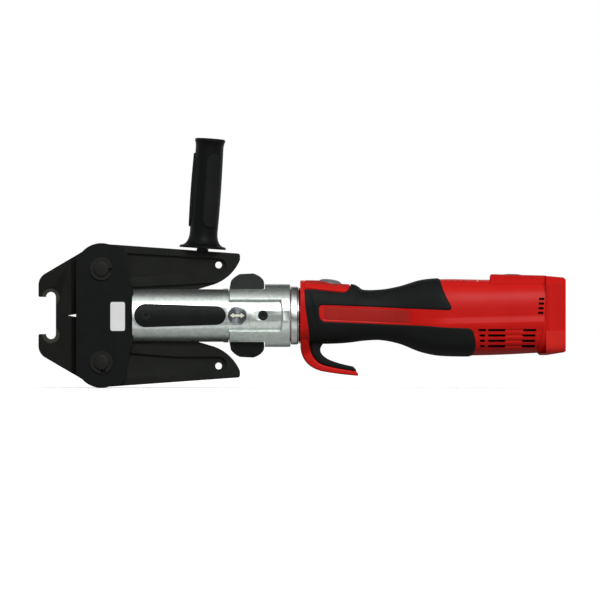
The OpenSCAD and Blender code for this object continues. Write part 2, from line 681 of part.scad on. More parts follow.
module neck_seal() color("#141515") turned_x([[cyl_neck_r + run_gap, neck_rear_x + 0.35],
    [neck_r - 1.4, neck_rear_x + 0.35], [neck_r - 1.4, nose_x - seat_gap], [cyl_neck_r + run_gap,
        nose_x - seat_gap]]);

// Ram, its rod with flats that pass between the plate tongues

module ram_rod() color("#d6d8d8") difference() {
    union() {
        bar_x(rod_r, carriage_rear_x + 0.05, piston_x - 0.05);
        bar_x(7, carriage_rear_x - 9, carriage_rear_x + 1);
        bar_x(8, piston_x - 1, piston_x + piston_l - 2);
    }
    bar_x(2, piston_x - 30, piston_x + piston_l);
    for (s = [0, 1]) mirror([0, s, 0]) translate([carriage_rear_x - 1, plate_in - free_gap, -rod_r - 1])
        cube([tongue_x - carriage_rear_x + 1.8, 10, 2 * rod_r + 2]);
}

module piston() color("#9c9e9e") turned_x([[8.03, piston_x], [piston_r, piston_x], [piston_r,
    piston_x + piston_l],
    [8.03, piston_x + piston_l]]);

module return_spring() color("#8a8c8d") translate([cyl_floor_x + 1.2, 0, 0]) rotate([0, 90, 0])
    coil((rod_r + cyl_bore_r) / 2, 1.1, (piston_x - cyl_floor_x - 2.4) / 6, 6);

module carriage_outline() {
    for (z = [-roller_z, roller_z]) translate([roller_x, z]) circle(r = roller_r - 2.5);
    translate([roller_x - roller_r + 2.5, -roller_z]) square([2 * roller_r - 5, 2 * roller_z]);
    translate([roller_x, -roller_z - roller_r + 4.5])
        square([carriage_rear_x - roller_x, 2 * (roller_z + roller_r - 4.5)]);
}

module roller_carriage() color("#6f7171") difference() {
    side_solid(2 * (slot_half - free_gap - 0.4)) carriage_outline();
    for (z = [-roller_z, roller_z]) translate([roller_x, 0, z]) {
        bar_y(axle_r + 0.02, -20, 20);
        bar_y(roller_r + free_gap, -roller_w / 2 - free_gap, roller_w / 2 + free_gap);
    }
    bar_x(7.03, carriage_rear_x - 9.2, carriage_rear_x + 1);
}

module roller_axles() color("#a0a2a2") for (z = [-roller_z, roller_z]) translate([roller_x, 0, z])
    bar_y(axle_r, -slot_half + free_gap + 0.5, slot_half - free_gap - 0.5);

module jaw_roller(z) translate([roller_x, 0, z]) difference() {
    bar_y(roller_r, -roller_w / 2, roller_w / 2);
    bar_y(axle_r + run_gap, -roller_w, roller_w);
}

module upper_roller() color("#8d8f8f") jaw_roller(roller_z);

module lower_roller() color("#8d8f8f") jaw_roller(-roller_z);

// Side handle

module handle_stud() color("#6b6d6d") at_handle() {
    translate([0, 0, -13]) cylinder(r = thread_r - 0.02, h = handle_gap + 53);
    translate([0, 0, -0.5]) cylinder(r = thread_r + 2, h = handle_gap + 0.4);
}

module handle_grip() color("#242625") at_handle() difference() {
    translate([0, 0, handle_gap]) rotate_extrude() polygon(concat(
        [[0, 0], [handle_flange_r - 1, 0], [handle_flange_r, 1], [handle_flange_r, 2]],
        bend([handle_flange_r - 0.6, 2.6], [handle_r + 1, 4], [handle_r - 0.6, 13], 8),
        [[handle_r - 0.8, 18]],
        bend([handle_r - 0.5, 22], [handle_r + 0.6, handle_l / 2], [handle_r - 0.6, handle_l - 12], 8),
        bend([handle_r - 0.6, handle_l - 9], [handle_r - 0.3, handle_l - 5], [handle_r + 0.8,
            handle_l - 3], 5),
        [[handle_r + 0.6, handle_l - 1.2], [handle_r - 1, handle_l - 0.2], [0, handle_l]]));
    translate([0, 0, -1]) cylinder(r = thread_r, h = handle_gap + 43);
}

// Raised soft pads spaced round the grip
module handle_pads() color("#2d2f2e") at_handle() translate([0, 0, handle_gap]) for (a = [-68, 52, 172])
    rotate([0, 0, a - 28]) rotate_extrude(angle = 56) polygon([[handle_r + 0.15, 22], [handle_r + 1.3, 26],
        [handle_r + 1.5, handle_l / 2], [handle_r + 1.3, handle_l - 20], [handle_r + 0.15, handle_l - 16]]);

// Drive inside

module swivel_bush() color("#a97f3f") difference() {
    bar_x(cyl_nose_r + 2, nose_x + 4, cyl_rear_x - 0.5);
    bar_x(cyl_nose_r + run_gap, nose_x, cyl_rear_x + 1);
}

module pump_body() color("#7d8082") difference() {
    union() {
        bar_x(pump_r, pump_front_x, pump_front_x + 10);
        bar_x(13, pump_front_x, pump_rear_x - 16);
        bar_x(pump_r, pump_rear_x - 24, pump_rear_x);
        bar_x(3, pump_front_x - 6, pump_front_x + 1);
    }
    bar_x(1.5, pump_front_x - 8, pump_front_x + 30);
    bar_x(9.5, pump_rear_x - 14, pump_rear_x + 1);
    bar_x(4 + run_gap, pump_rear_x - 17, pump_rear_x);
    translate([lobe_x + 5, 0, 0]) cylinder(r = 3.03, h = 16.5);
}

// Plunger seated at the top of its stroke
module pump_plunger() color("#b9bbbb") translate([lobe_x + 5, 0, 8.9]) cylinder(r = 3, h = 7);

module gear_case() color("#8b8d8f") difference() {
    bar_x(case_r, case_front_x, case_rear_x);
    bar_x(5.4, case_front_x - 1, case_rear_x);
    bar_x(15.6, case_front_x + 1.6, ring_front_x);
    bar_x(17.9, ring_rear_x, case_rear_x + 1);
    translate([ring_front_x - 1, 0, 0]) rotate([0, 90, 0]) linear_extrude(ring_rear_x - ring_front_x + 2)
        polygon(polar(gear_points(ring_n, gear_m * (ring_n / 2 - 0.85), gear_m * (ring_n / 2 + 1.15),
            tooth_thin)));
}

// Carrier with the eccentric that drives the plunger
module planet_carrier() color("#94969a") {
    bar_x(15.2, case_front_x + 2, ring_front_x - 0.4);
    bar_x(5, pump_rear_x - 13.6, case_front_x + 3);
    bar_x(4, pump_rear_x - 16.6, pump_rear_x - 13);
    translate([0, 0, 1.5]) bar_x(7, lobe_x, lobe_x + 10);
    for (a = [0, 120, 240]) rotate([a, 0, 0]) translate([0, 0, -planet_c]) bar_x(2.2, ring_front_x - 1,
        ring_rear_x);
}

module planet(a) rotate([a, 0, 0]) translate([0, 0, -planet_c]) difference() {
    translate([ring_front_x, 0, 0]) rotate([0, 90, 0]) linear_extrude(ring_rear_x - ring_front_x - 0.5)
        polygon(polar(gear_points(planet_n, gear_m * (planet_n / 2 - 1.15), gear_m * (planet_n / 2 + 0.85),
            -tooth_thin)));
    bar_x(2.2 + run_gap, ring_front_x - 1, ring_rear_x + 1);
}

module planet_1() color("#a4a6aa") planet(0);

module planet_2() color("#a4a6aa") planet(120);

module planet_3() color("#a4a6aa") planet(240);

module motor_stator() color("#4d4f52") difference() {
    bar_x(stator_r, stator_front_x, stator_rear_x);
    bar_x(rotor_r + 0.5, stator_front_x - 1, stator_rear_x + 1);
    for (a = [0:60:300]) rotate([a, 0, 0]) translate([stator_front_x - 1, -2.5, rotor_r + 1])
        cube([stator_rear_x - stator_front_x + 2, 5, 7]);
}

// Shaft with the sun pinion and the magnet core
module motor_rotor() color("#b1b3b5") {
    bar_x(shaft_r, ring_rear_x + 1, bearing_rear_x + bearing_w);
    bar_x(rotor_r, stator_front_x + 4, stator_rear_x - 4);
    translate([ring_front_x, 0, 0]) rotate([0, 90, 0]) linear_extrude(ring_rear_x - ring_front_x + 2)
        polygon(polar(gear_points(sun_n, gear_m * (sun_n / 2 - 1.15), gear_m * (sun_n / 2 + 0.85),
            -tooth_thin)));
}

module motor_bearings() color("#c0c2c4") for (x = [bearing_front_x, bearing_rear_x]) difference() {
    bar_x(bearing_r, x, x + bearing_w);
    bar_x(shaft_r + run_gap, x - 1, x + bearing_w + 1);
}

module cooling_fan() color("#303234") difference() {
    union() {
        bar_x(8, fan_x, fan_x + 8);
        bar_x(fan_r, fan_x, fan_x + 1.6);
        for (a = [0:40:320]) rotate([a, 0, 0]) translate([fan_x + 1, -0.9, 7]) cube([7, 1.8, fan_r - 7.2]);
    }
    bar_x(shaft_r + 0.02, fan_x - 1, fan_x + 9);
}

module control_board() color("#2f5d3c") {
    translate([board_x, -board_w / 2, -28]) cube([1.8, board_w, board_h]);
    for (z = [-20, -4, 12]) translate([board_x + 1.6, -board_w / 2 + 10, z]) cube([7, board_w - 20, 9]);
}

// Housing

// Frames inside the shells: place, thickness and bore radius
frames = [[nose_x + 8, 3, cyl_nose_r + 2.1], [nose_x + 30, 3, cyl_nose_r + 2.1],
    [pump_front_x + 1.5, 3, pump_r + 0.1], [pump_rear_x - 12, 4, pump_r + 0.1],
    [case_front_x + 6, 3, case_r + 0.1], [case_front_x + 24, 3, case_r + 0.1],
    [bearing_front_x + 0.5, 4, bearing_r + 0.1], [stator_front_x + 6, 3, stator_r + 0.1],
    [stator_rear_x - 12, 3, stator_r + 0.1], [bearing_rear_x + 0.5, 4, bearing_r + 0.1],
    [board_x - 3.1, 3, 20]];

module frame_section(x, t) polygon([for (i = [0:ring_n_points - 1]) let (
        a = 360 * i / ring_n_points, p = skin_point(x, a, wall + 0.25), q = skin_point(x + t, a, wall + 0.25))
    skin_value(x, 3) < skin_value(x + t, 3) ? [p.y, p.z] : [q.y, q.z]]);

// Moulded frames that carry the pump, the gears and the motor
module support_frames() color("#9c1c18") for (f = frames) difference() {
    translate([f[0], 0, 0]) rotate([90, 0, 90]) linear_extrude(f[1]) frame_section(f[0], f[1]);
    bar_x(f[2], f[0] - 1, f[0] + f[1] + 1);
    if (f[0] < nose_x + 60) translate([f[0] - 1, -thumb_r - 1, 22]) cube([f[1] + 2, 2 * thumb_r + 2, 20]);
}

module vents() {
    for (i = [0:3]) {
        translate([dock_x - 8.7, -60, 16.2 - 4.9 * i]) cube([6.4, 120, 2.4]);
        for (c = [[fan_x - 3.2, 7.6], [fan_x + 7.4, 17.8], [dock_x - 24.3 - 0.5 * i, 14]])
            translate([c[0], -60, -16.5 - 5.6 * i]) cube([c[1], 120, 2.4]);
    }
}

module shell_half() {
    half = ring_n_points / 2;
    places = [for (i = [0:skin_steps]) shell_x + (dock_x - shell_x) * i / skin_steps];
    grid_solid([for (x = places) [for (j = [0:half]) skin_point(x, 90 + 180 * j / half, 0) - [0, 0.03, 0]]],
        [for (x = places) [for (j = [0:half]) skin_point(x, 90 + 180 * j / half, wall) - [0, 0.03, 0]]]);
}

module housing_half() difference() {
    shell_half();
    vents();
    translate([thumb_at.x - 2, 0, 24]) cylinder(r = thumb_r + 2, h = 30);
}

module housing_front() color("#b5211c") housing_half();

module housing_rear() color("#b5211c") difference() {
    mirror([0, 1, 0]) housing_half();
    for (p = screw_places) translate([p[0], 0, p[1]]) {
        bar_y(1.7, 5, 60);
        bar_y(3.7, -screw_y(p) - 1.2, 60);
    }
}

// Screws that join the shells, put in from the rear side
screw_places = [[nose_x + 60, 0.9], [stator_front_x - 8, -1.5], [stator_rear_x + 14, 24],
    [stator_rear_x + 4, -8],
    [dock_x - 13.9, -24]];

function screw_y(p) = skin_point(p[0], skin_angle(p[0], p[1]), 0).y;

module housing_screws() color("#3b3d3d") for (p = screw_places) translate([p[0], -screw_y(p),
    p[1]]) difference() {
    union() {
        bar_y(3.4, -1.1, 0.6);
        bar_y(1.6, -6, -0.5);
    }
    rotate([-90, 0, 0]) translate([0, 0, -0.4]) cylinder(r = 1.6, h = 3, $fn = 6);
}

// Red stripe left open by the grip on each side
stripe_x = nose_x + 18.6;
stripe_half = 8.7;
function stripe_mid(x) = 2.2 - 0.042 * (x - nose_x - 29);

// Lower edge of the top strap and rear edge of the nose ring
strap_end_x = nose_x + 52.6;
function strap_z(x) = 28.4 - 0.1 * (x - nose_x - 4);
function bezel_x(z) = nose_x + 4.2 + max(28.4 - z, 0) * 0.085;

// Inner and outer edge of the grip as pairs of place and section angle, from the top rear to the bottom rear
function grip_edge(x, z) = [x, skin_angle(x, z)];
top_rear_x = stator_front_x + 17;
stripe_rear_x = stator_front_x + 28;
low_rear_x = stator_front_x + 50;
grip_inner = concat(
    [for (i = [0:24]) let (x = stripe_rear_x + (nose_x + 50 - stripe_rear_x) * i / 24)
        grip_edge(x, stripe_mid(x) + stripe_half)],
    [for (x = [nose_x + 47, nose_x + 43, nose_x + 37, nose_x + 32]) grip_edge(x,
        stripe_mid(x) + stripe_half)],
    [for (a = [105, 130, 155, 180, 205, 230, 255, 258, 262, 266,
        270]) let (x = stripe_x + stripe_half * (1 + cos(a)))
        grip_edge(x, stripe_mid(x) + stripe_half * sin(a))],
    [for (i = [0:30]) let (x = nose_x + 31 + (low_rear_x - nose_x - 31) * i / 30)
        grip_edge(x, stripe_mid(x) - stripe_half)]);
grip_outer = concat(
    [for (i = [0:24]) [top_rear_x + (strap_end_x + 0.2 - top_rear_x) * i / 24, 90]],
    [grip_edge(strap_end_x, 28)],
    [for (x = [strap_end_x - 6.8, nose_x + 30, nose_x + 5]) grip_edge(x, strap_z(x) - 0.6)],
    [for (z = [20, 12, 4, -5, -13, -20, -24.5]) grip_edge(bezel_x(z) + 0.1, z)],
    [for (i = [1:4]) let (p = grip_edge(bezel_x(-24.5) + 0.1, -24.5)) p + ([nose_x + 10, 270] - p) * i / 5],
    [for (i = [0:30]) [nose_x + 10 + (low_rear_x - nose_x - 10) * i / 30, 270]]);

module grip_half() {
    across = 12;
    rows = [for (i = [0:len(grip_inner) - 1]) [for (j = [0:across])
        grip_inner[i] + (grip_outer[i] - grip_inner[i]) * j / across]];
    grid_solid([for (row = rows) [for (q = row) skin_point(q[0], q[1], -grip_t) - [0, 0.03, 0]]],
        [for (row = rows) [for (q = row) skin_point(q[0], q[1], -0.45) - [0, 0.03, 0]]]);
}

module grip_front() color("#232524") grip_half();

module grip_rear() color("#232524") mirror([0, 1, 0]) grip_half();

// Ring round the front of the housing
module nose_bezel() color("#b5211c") difference() {
    loop_solid([for (i = [0:ring_n_points - 1]) let (
            a = 360 * i / ring_n_points, edge = skin_point(nose_x, a, 0), back = bezel_x(edge.z),
                r = cyl_neck_r + 0.5)
        [[nose_x, r * cos(a), r * sin(a)], [nose_x + bezel_t, r * cos(a), r * sin(a)],
            skin_point(nose_x + bezel_t, a, -0.1), skin_point(back, a, -0.1), skin_point(back, a, -grip_t),
            skin_point(nose_x + 1, a, -grip_t), skin_point(nose_x, a, -grip_t + 1)]]);
    translate([nose_x + bezel_t + 0.1, -20, 34]) cube([10, 40, 20]);
}

// Strap over the top of the nose that holds the thumb button
module top_strap() color("#b5211c") difference() {
    places = [for (i = [0:24]) nose_x + 4.4 + (strap_end_x - nose_x - 4.5) * i / 24];
    span = [for (x = places) skin_angle(x, max(strap_z(x), strap_z(x) + 1.4 * (x - strap_end_x + 6))) - 90];
    grid_solid([for (i = [0:24]) [for (j = [0:28]) skin_point(places[i], 90 + span[i] * (j - 14) / 14,
        -grip_t)]],
        [for (i = [0:24]) [for (j = [0:28]) skin_point(places[i], 90 + span[i] * (j - 14) / 14, -0.5)]]);
    translate(thumb_at) rotate([0, thumb_tilt, 0]) translate([0, 0, -20]) cylinder(r = thumb_r + 0.35,
        h = 40);
}

// Finger hook under the nose: the line between its red band and its soft pad
guard_line = concat(bend([nose_x + 9.8, -31], [nose_x + 11.6, -44], [nose_x + 21, -50.2], 8),
    bend([nose_x + 25, -52], [nose_x + 40, -56], [nose_x + 57.6, -58], 6));

module guard_outline() polygon(concat(
    [[nose_x + 9.6, -nose_low - 0.1], [nose_x + 0.2, -nose_low - 0.1], [nose_x + 0.2, -33]],
    bend([nose_x + 0.4, -35], [nose_x + 2.2, -50], [nose_x + 16.6, -56.6], 9),
    bend([nose_x + 22, -58.4], [nose_x + 40, -62], [nose_x + 58.6, -63.2], 6),
    [[nose_x + 60.2, -62.4], [nose_x + 60.2, -61.4], [nose_x + 57.8, -58]],
    [for (i = [len(guard_line) - 1:-1:0]) guard_line[i]]));

module pad_outline() polygon(concat(
    [[nose_x + 9.9, -nose_low - 0.1]],
    [for (p = guard_line) p + [0.05, 0.1]],
    [[nose_x + 57.2, -55.8]],
    bend([nose_x + 54.4, -53], [nose_x + 36, -49.6], [nose_x + 28.4, -45.2], 6),
    bend([nose_x + 24, -42], [nose_x + 17.6, -35], [nose_x + 25.4, -nose_low - 0.1], 8)));

module finger_hook() color("#b5211c") side_solid(guard_w) guard_outline();

module hook_pad() color("#232524") side_solid(guard_w) pad_outline();

// Domed thumb button in the top strap
module thumb_button() color("#8f9192") translate(thumb_at) rotate([0, thumb_tilt,
    0]) rotate_extrude() polygon(concat(
    [[0, -4], [thumb_r, -4], [thumb_r, 0.2]],
    bend([thumb_r - 0.2, 0.6], [thumb_r * 0.68, 3.6], [0, 3.7], 10)));

module switch_block() color("#1b1c1d") translate(thumb_at) rotate([0, thumb_tilt, 0]) {
    translate([-9, -7, -10.7]) cube([15, 14, 3.4]);
    translate([0, 0, -8]) cylinder(r = 2.4, h = 3.6 - thumb_travel);
}

// Raised cover over the rear of the housing
module top_cover() color("#b5211c") {
    cover_x = dock_x - 58.9;
    places = [for (f = [0, 0.02, 0.06, 0.3, 0.6, 1]) cover_x + (dock_x - 0.1 - cover_x) * f];
    rise = [for (i = [0:5]) let (top = dock_half_z + 1.8 - 0.026 * (places[i] - cover_x) - (i == 0 ? 2 : 0))
        top - skin_value(places[i], 1)];
    grid_solid([for (i = [0:5]) [for (j = [-7:7])
            skin_point(places[i], 90 + 44 * j / 7, -rise[i] * (1 - 0.9 * abs(j / 7) ^ 3))]],
        [for (i = [0:5]) [for (j = [-7:7]) skin_point(places[i], 90 + 44 * j / 7, -0.1)]]);
}

// Battery dock

module dock_side() polygon([[dock_x + 0.1, dock_half_z], [rear_x - 2.6, dock_half_z - 1.6],
    [rear_x, dock_half_z - 3.8], [rear_x, -dock_half_z + 4.2], [rear_x - 2, -dock_half_z + 3],
    [dock_x + 0.6, -dock_half_z], [dock_x - 6.5, -dock_half_z], [dock_x - 9, -motor_low + 3.2],
    [dock_x + 0.1, -motor_low + 3.2]]);

module dock_section(r) rotate([90, 0, 90]) linear_extrude(60) {
    square([2 * dock_half_w - 2 * r, 4 * dock_half_z], center = true);
    square([2 * dock_half_w, 2 * (dock_half_z - r)], center = true);
    for (y = [-1, 1], z = [-1, 1]) translate([y * (dock_half_w - r), z * (dock_half_z - r)]) circle(r);
}

module battery_dock() color("#b5211c") difference() {
    intersection() {
        side_solid(100) dock_side();
        translate([dock_x - 10, 0, 0]) dock_section(12);
    }
    translate([dock_x - 1, -dock_half_w + 9, -dock_half_z + 12])
        cube([rear_x - slot_depth - 3 - dock_x, 2 * dock_half_w - 18, 2 * dock_half_z - 24]);
    translate([rear_x - slot_depth, -slot_half_w, -60]) cube([slot_depth - lip_t, 2 * slot_half_w,
        60 + dock_half_z - 9]);
    translate([rear_x - slot_depth, -lip_half_w, -60]) cube([slot_depth + 5, 2 * lip_half_w,
        60 + dock_half_z - 9]);
    translate([dock_x - 1, -contact_w / 2 - 0.1, -8.1])
        cube([rear_x - slot_depth - dock_x + 2, contact_w + 0.2, contact_h + 0.2]);
}

// Contact block with its blades facing the battery
module terminals() color("#c8a24a") {
    translate([dock_x - 6, -contact_w / 2, -8]) cube([rear_x - slot_depth - dock_x + 5.9, contact_w,
        contact_h]);
    for (y = [-3, -1, 1, 3] * contact_w / 8) translate([rear_x - slot_depth - 1, y - 0.6, -6])
        cube([7, 1.2, contact_h - 12]);
}

upper_jaw();
lower_jaw();
side_plate_front();
side_plate_rear();
jaw_pins();
pin_clips();
jaw_springs();
blank_label();
barrel();
cover_strips();
strip_screws();
lock_button();
lock_spring();
coupling_collar();
upper_tab();
lower_tab();
upper_tab_spring();
lower_tab_spring();
cylinder_body();
gland_screws();
neck_ring();
neck_seal();
ram_rod();
piston();
return_spring();
roller_carriage();
roller_axles();
upper_roller();
lower_roller();
handle_stud();
handle_grip();
handle_pads();
swivel_bush();
pump_body();
pump_plunger();
gear_case();
planet_carrier();
planet_1();
planet_2();
planet_3();
motor_stator();
motor_rotor();
motor_bearings();
cooling_fan();
control_board();
support_frames();
housing_front();
housing_rear();
housing_screws();
grip_front();
grip_rear();
nose_bezel();
top_strap();
finger_hook();
hook_pad();
thumb_button();
switch_block();
top_cover();
battery_dock();
terminals();
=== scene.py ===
# %% [markdown]
# # A battery press tool, piece by piece
# The tool closes two steel arms round a press ring. A long steel barrel carries the arms, and a red and black drive
# with a pump and a motor sits behind it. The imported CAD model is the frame: it gives each part its place and its body.
# Here the parts that a hand or an eye meets are rebuilt as smooth surfaces, and everything gets its finish.

# %% Load the frame
import json
import math

import bmesh
import bpy
import numpy as np
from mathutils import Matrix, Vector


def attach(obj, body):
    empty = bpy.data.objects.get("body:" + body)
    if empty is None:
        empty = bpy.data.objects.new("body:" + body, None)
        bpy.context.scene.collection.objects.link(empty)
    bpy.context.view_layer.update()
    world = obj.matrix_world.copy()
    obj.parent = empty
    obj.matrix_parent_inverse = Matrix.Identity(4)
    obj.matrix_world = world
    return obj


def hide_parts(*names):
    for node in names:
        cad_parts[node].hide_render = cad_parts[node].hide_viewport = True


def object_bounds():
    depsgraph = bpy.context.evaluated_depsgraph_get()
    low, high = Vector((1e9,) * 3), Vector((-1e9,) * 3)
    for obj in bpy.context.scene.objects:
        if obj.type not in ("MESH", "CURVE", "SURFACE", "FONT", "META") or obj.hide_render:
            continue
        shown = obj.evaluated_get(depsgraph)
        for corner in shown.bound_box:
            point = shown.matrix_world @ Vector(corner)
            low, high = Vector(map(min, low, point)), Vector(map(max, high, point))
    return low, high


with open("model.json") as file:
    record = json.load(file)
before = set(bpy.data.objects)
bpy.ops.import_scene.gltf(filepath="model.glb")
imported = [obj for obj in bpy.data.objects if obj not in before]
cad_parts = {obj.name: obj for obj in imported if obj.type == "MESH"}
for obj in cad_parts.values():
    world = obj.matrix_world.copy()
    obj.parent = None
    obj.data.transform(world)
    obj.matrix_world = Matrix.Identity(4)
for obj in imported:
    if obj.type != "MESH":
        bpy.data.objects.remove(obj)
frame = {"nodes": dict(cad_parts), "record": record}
cad_box = [[round(value, 6) for value in corner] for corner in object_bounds()]
MM = 0.001
print("CAD box in metres:", cad_box)

# %% [markdown]
# ## Grids and meshes
# Almost every piece here is a grid of points: rows and columns of a function with two parameters. The faces of a grid
# are always the same quads between neighbours, so one helper makes them all at once with numpy, without a loop.

# %% Faces of a grid
def grid_faces(rows, cols, round_rows=False, round_cols=False):
    """Quads (r, c), (r+1, c), (r+1, c+1), (r, c+1) of a grid; the last row or column meets the first where asked."""
    r = np.arange(rows if round_rows else rows - 1)[:, None]
    c = np.arange(cols if round_cols else cols - 1)[None, :]
    r2, c2 = (r + 1) % rows, (c + 1) % cols
    corners = np.broadcast_arrays(r * cols + c, r2 * cols + c, r2 * cols + c2, r * cols + c2)
    return np.stack(corners, -1).reshape(-1, 4)


def slab(outer, inner):
    """Points and quads of a closed sheet: the outer grid, the inner grid under it and a rim along all four edges."""
    rows, cols = outer.shape[:2]
    count = rows * cols
    sheet = grid_faces(rows, cols)
    index = np.arange(count).reshape(rows, cols)
    edge = np.concatenate([index[0, :], index[1:, -1], index[-1, -2::-1], index[-2:0:-1, 0]])
    rim = np.stack([edge, np.roll(edge, -1), np.roll(edge, -1) + count, edge + count], -1)
    points = np.concatenate([outer.reshape(-1, 3), inner.reshape(-1, 3)])
    return points, np.concatenate([sheet, sheet[:, ::-1] + count, rim])


def tube(loops):
    """Points and faces of loops that follow each other, with one flat face over the first and the last loop."""
    rows, cols = loops.shape[:2]
    ends = [list(range(cols))[::-1], list(range((rows - 1) * cols, rows * cols))]
    return loops.reshape(-1, 3), grid_faces(rows, cols, round_cols=True).tolist() + ends


def spanned(*loops):
    """Points and faces of outlines in x and z that stand at given places y across the tool."""
    return tube(np.stack([np.insert(np.array(outline, float), 1, y, 1) for outline, y in loops]))


def joined(shapes):
    """Several shapes as one: all points in one array, the faces of each counted on from its first point."""
    sets = [np.asarray(points).reshape(-1, 3) for points, faces in shapes]
    starts = np.cumsum([0] + [len(points) for points in sets])
    faces = [[v + start for v in face] for shape, start in zip(shapes, starts) for face in shape[1]]
    return np.concatenate(sets), faces


# %% Turn points into a piece
def rework(mesh, *steps):
    """Opens a mesh for editing, runs each step on it and writes the result back."""
    build = bmesh.new()
    build.from_mesh(mesh)
    for step in steps:
        step(build)
    build.to_mesh(mesh)
    build.free()


def outwards(build):
    """Turns the faces of closed shapes outwards."""
    bmesh.ops.recalc_face_normals(build, faces=build.faces)


def smooth(mesh, sharp):
    """Smooth shading on all faces, with edges sharper than an angle in degrees kept as creases."""
    mesh.polygons.foreach_set("use_smooth", np.ones(len(mesh.polygons), bool))
    mesh.set_sharp_from_angle(angle=math.radians(sharp))


def in_scene(name, data):
    """A new object with its data, linked to the scene."""
    made = bpy.data.objects.new(name, data)
    bpy.context.scene.collection.objects.link(made)
    return made


def piece(name, shape, body, material, stands_for=(), sharp=38):
    """A mesh object from points in millimetres: doubles merged, faces turned outwards, smooth except at sharp edges."""
    points, faces = shape
    mesh = bpy.data.meshes.new(name)
    mesh.from_pydata((np.asarray(points).reshape(-1, 3) * MM).tolist(), [], [list(f) for f in faces])
    rework(mesh, lambda build: bmesh.ops.remove_doubles(build, verts=build.verts, dist=0.002 * MM), outwards)
    smooth(mesh, sharp)
    mesh.materials.append(material)
    made = in_scene(name, mesh)
    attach(made, body)
    if stands_for:
        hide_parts(*stands_for)
    print(f"{name}: {len(mesh.polygons)} faces on body {body}")
    return made


def carve(made, cutters, sharp=38):
    """Cuts closed shapes out of a piece with the exact Boolean and keeps what is left as the piece's own mesh."""
    points, faces = joined(cutters)
    mesh = bpy.data.meshes.new("cutter")
    mesh.from_pydata((points * MM).tolist(), [], faces)
    rework(mesh, outwards)
    tool = in_scene("cutter", mesh)
    cut = made.modifiers.new("cut", "BOOLEAN")
    cut.object, cut.operation, cut.solver = tool, "DIFFERENCE", "EXACT"
    bpy.context.view_layer.update()
    result = bpy.data.meshes.new_from_object(made.evaluated_get(bpy.context.evaluated_depsgraph_get()))
    made.modifiers.clear()
    made.data = result
    bpy.data.objects.remove(tool)
    smooth(result, sharp)
    weigh = made.modifiers.new("even_light", "WEIGHTED_NORMAL")
    weigh.keep_sharp, weigh.weight = True, 80
    print(f"{made.name}: {len(cutters)} cuts, {len(result.polygons)} faces left")


# %% [markdown]
# ## Finishes
# Each finish is one Principled shader. Values that are even all over sit on the shader's own sockets. What varies comes
# from noise on Object coordinates, which are metres here, so a noise scale of 2000 gives grain about half a millimetre
# across. The grain drives a little colour, some roughness and a fine bump, as on moulded plastic and plated steel.

# %% Shader nodes in one line
def fill(tree, node, inputs):
    """Fills inputs of a node: a socket is linked, any other value is set."""
    for key, value in inputs.items():
        if isinstance(value, bpy.types.NodeSocket):
            tree.links.new(value, node.inputs[key])
        else:
            node.inputs[key].default_value = value
    return node


def add(tree, kind, inputs, **settings):
    """A new shader node of a kind: first its settings, then its inputs."""
    node = tree.nodes.new("ShaderNode" + kind)
    for name, value in settings.items():
        setattr(node, name, value)
    return fill(tree, node, inputs)


def mix(tree, factor, a, b, blend_type="MIX"):
    """Colour from a at factor 0 to b at factor 1."""
    ends = {"Factor": factor, "A": a, "B": b}
    return add(tree, "Mix", ends, data_type="RGBA", blend_type=blend_type).outputs["Result"]


# %% A shader with grain
def grain(tree, scale, detail=3.0, stretch=(1, 1, 1)):
    """Noise over a piece's own coordinates in metres; stretch above 1 along an axis makes the grain finer that way."""
    place = add(tree, "TexCoord", {})
    squeeze = add(tree, "Mapping", {"Vector": place.outputs["Object"], "Scale": stretch})
    noise = add(tree, "TexNoise", {"Vector": squeeze.outputs["Vector"], "Scale": scale, "Detail": detail})
    return noise.outputs["Fac"]


def between(tree, value, low, high):
    """Maps the useful part of a noise, 0.3 to 0.7, onto the range from low to high."""
    ends = {"From Min": 0.3, "From Max": 0.7, "To Min": low, "To Max": high}
    return add(tree, "MapRange", {"Value": value, **ends}).outputs["Result"]


def finish(name, dark, light, rough, patch, speck, depth, metal=0.0, specular=0.5, stretch=(1, 1, 1)):
    """A surface whose colour drifts from dark to light in patches; roughness and bump come from fine specks."""
    made = bpy.data.materials.new(name)
    made.use_nodes = True
    tree = made.node_tree
    drift = mix(tree, between(tree, grain(tree, patch), 0, 1), (*dark, 1), (*light, 1))
    fine = grain(tree, speck, 2.0, stretch)
    bump = add(tree, "Bump", {"Strength": 0.35, "Distance": depth * MM, "Height": fine})
    fill(tree, tree.nodes["Principled BSDF"], {
        "Metallic": metal, "Specular IOR Level": specular, "Base Color": drift,
        "Roughness": between(tree, fine, *rough), "Normal": bump.outputs["Normal"]})
    return made


# %% [markdown]
# Each finish below gives its two colours, its range of roughness, how fine its patches and specks are, and the depth
# of its bump in millimetres. Plain ones, such as nylon or black oxide, end with how strongly the surface reflects.

# %% The finishes of this tool
def tone(shown):
    """Linear colour of a tone given in display values from 0 to 255."""
    value = np.array(shown) / 255
    return tuple(np.where(value <= 0.04045, value / 12.92, ((value + 0.055) / 1.055) ** 2.4))


def plain(name, dark, light, rough, patch, speck, depth, specular):
    """A finish that isn't bare metal, with its colours in display values."""
    return finish(name, tone(dark), tone(light), rough, patch, speck, depth, 0.0, specular)


def metallic(name, dark, light, rough, patch, speck, depth, stretch=(1, 1, 1)):
    """A finish of bare or plated metal, with its colours in linear values."""
    return finish(name, dark, light, rough, patch, speck, depth, 1.0, stretch=stretch)


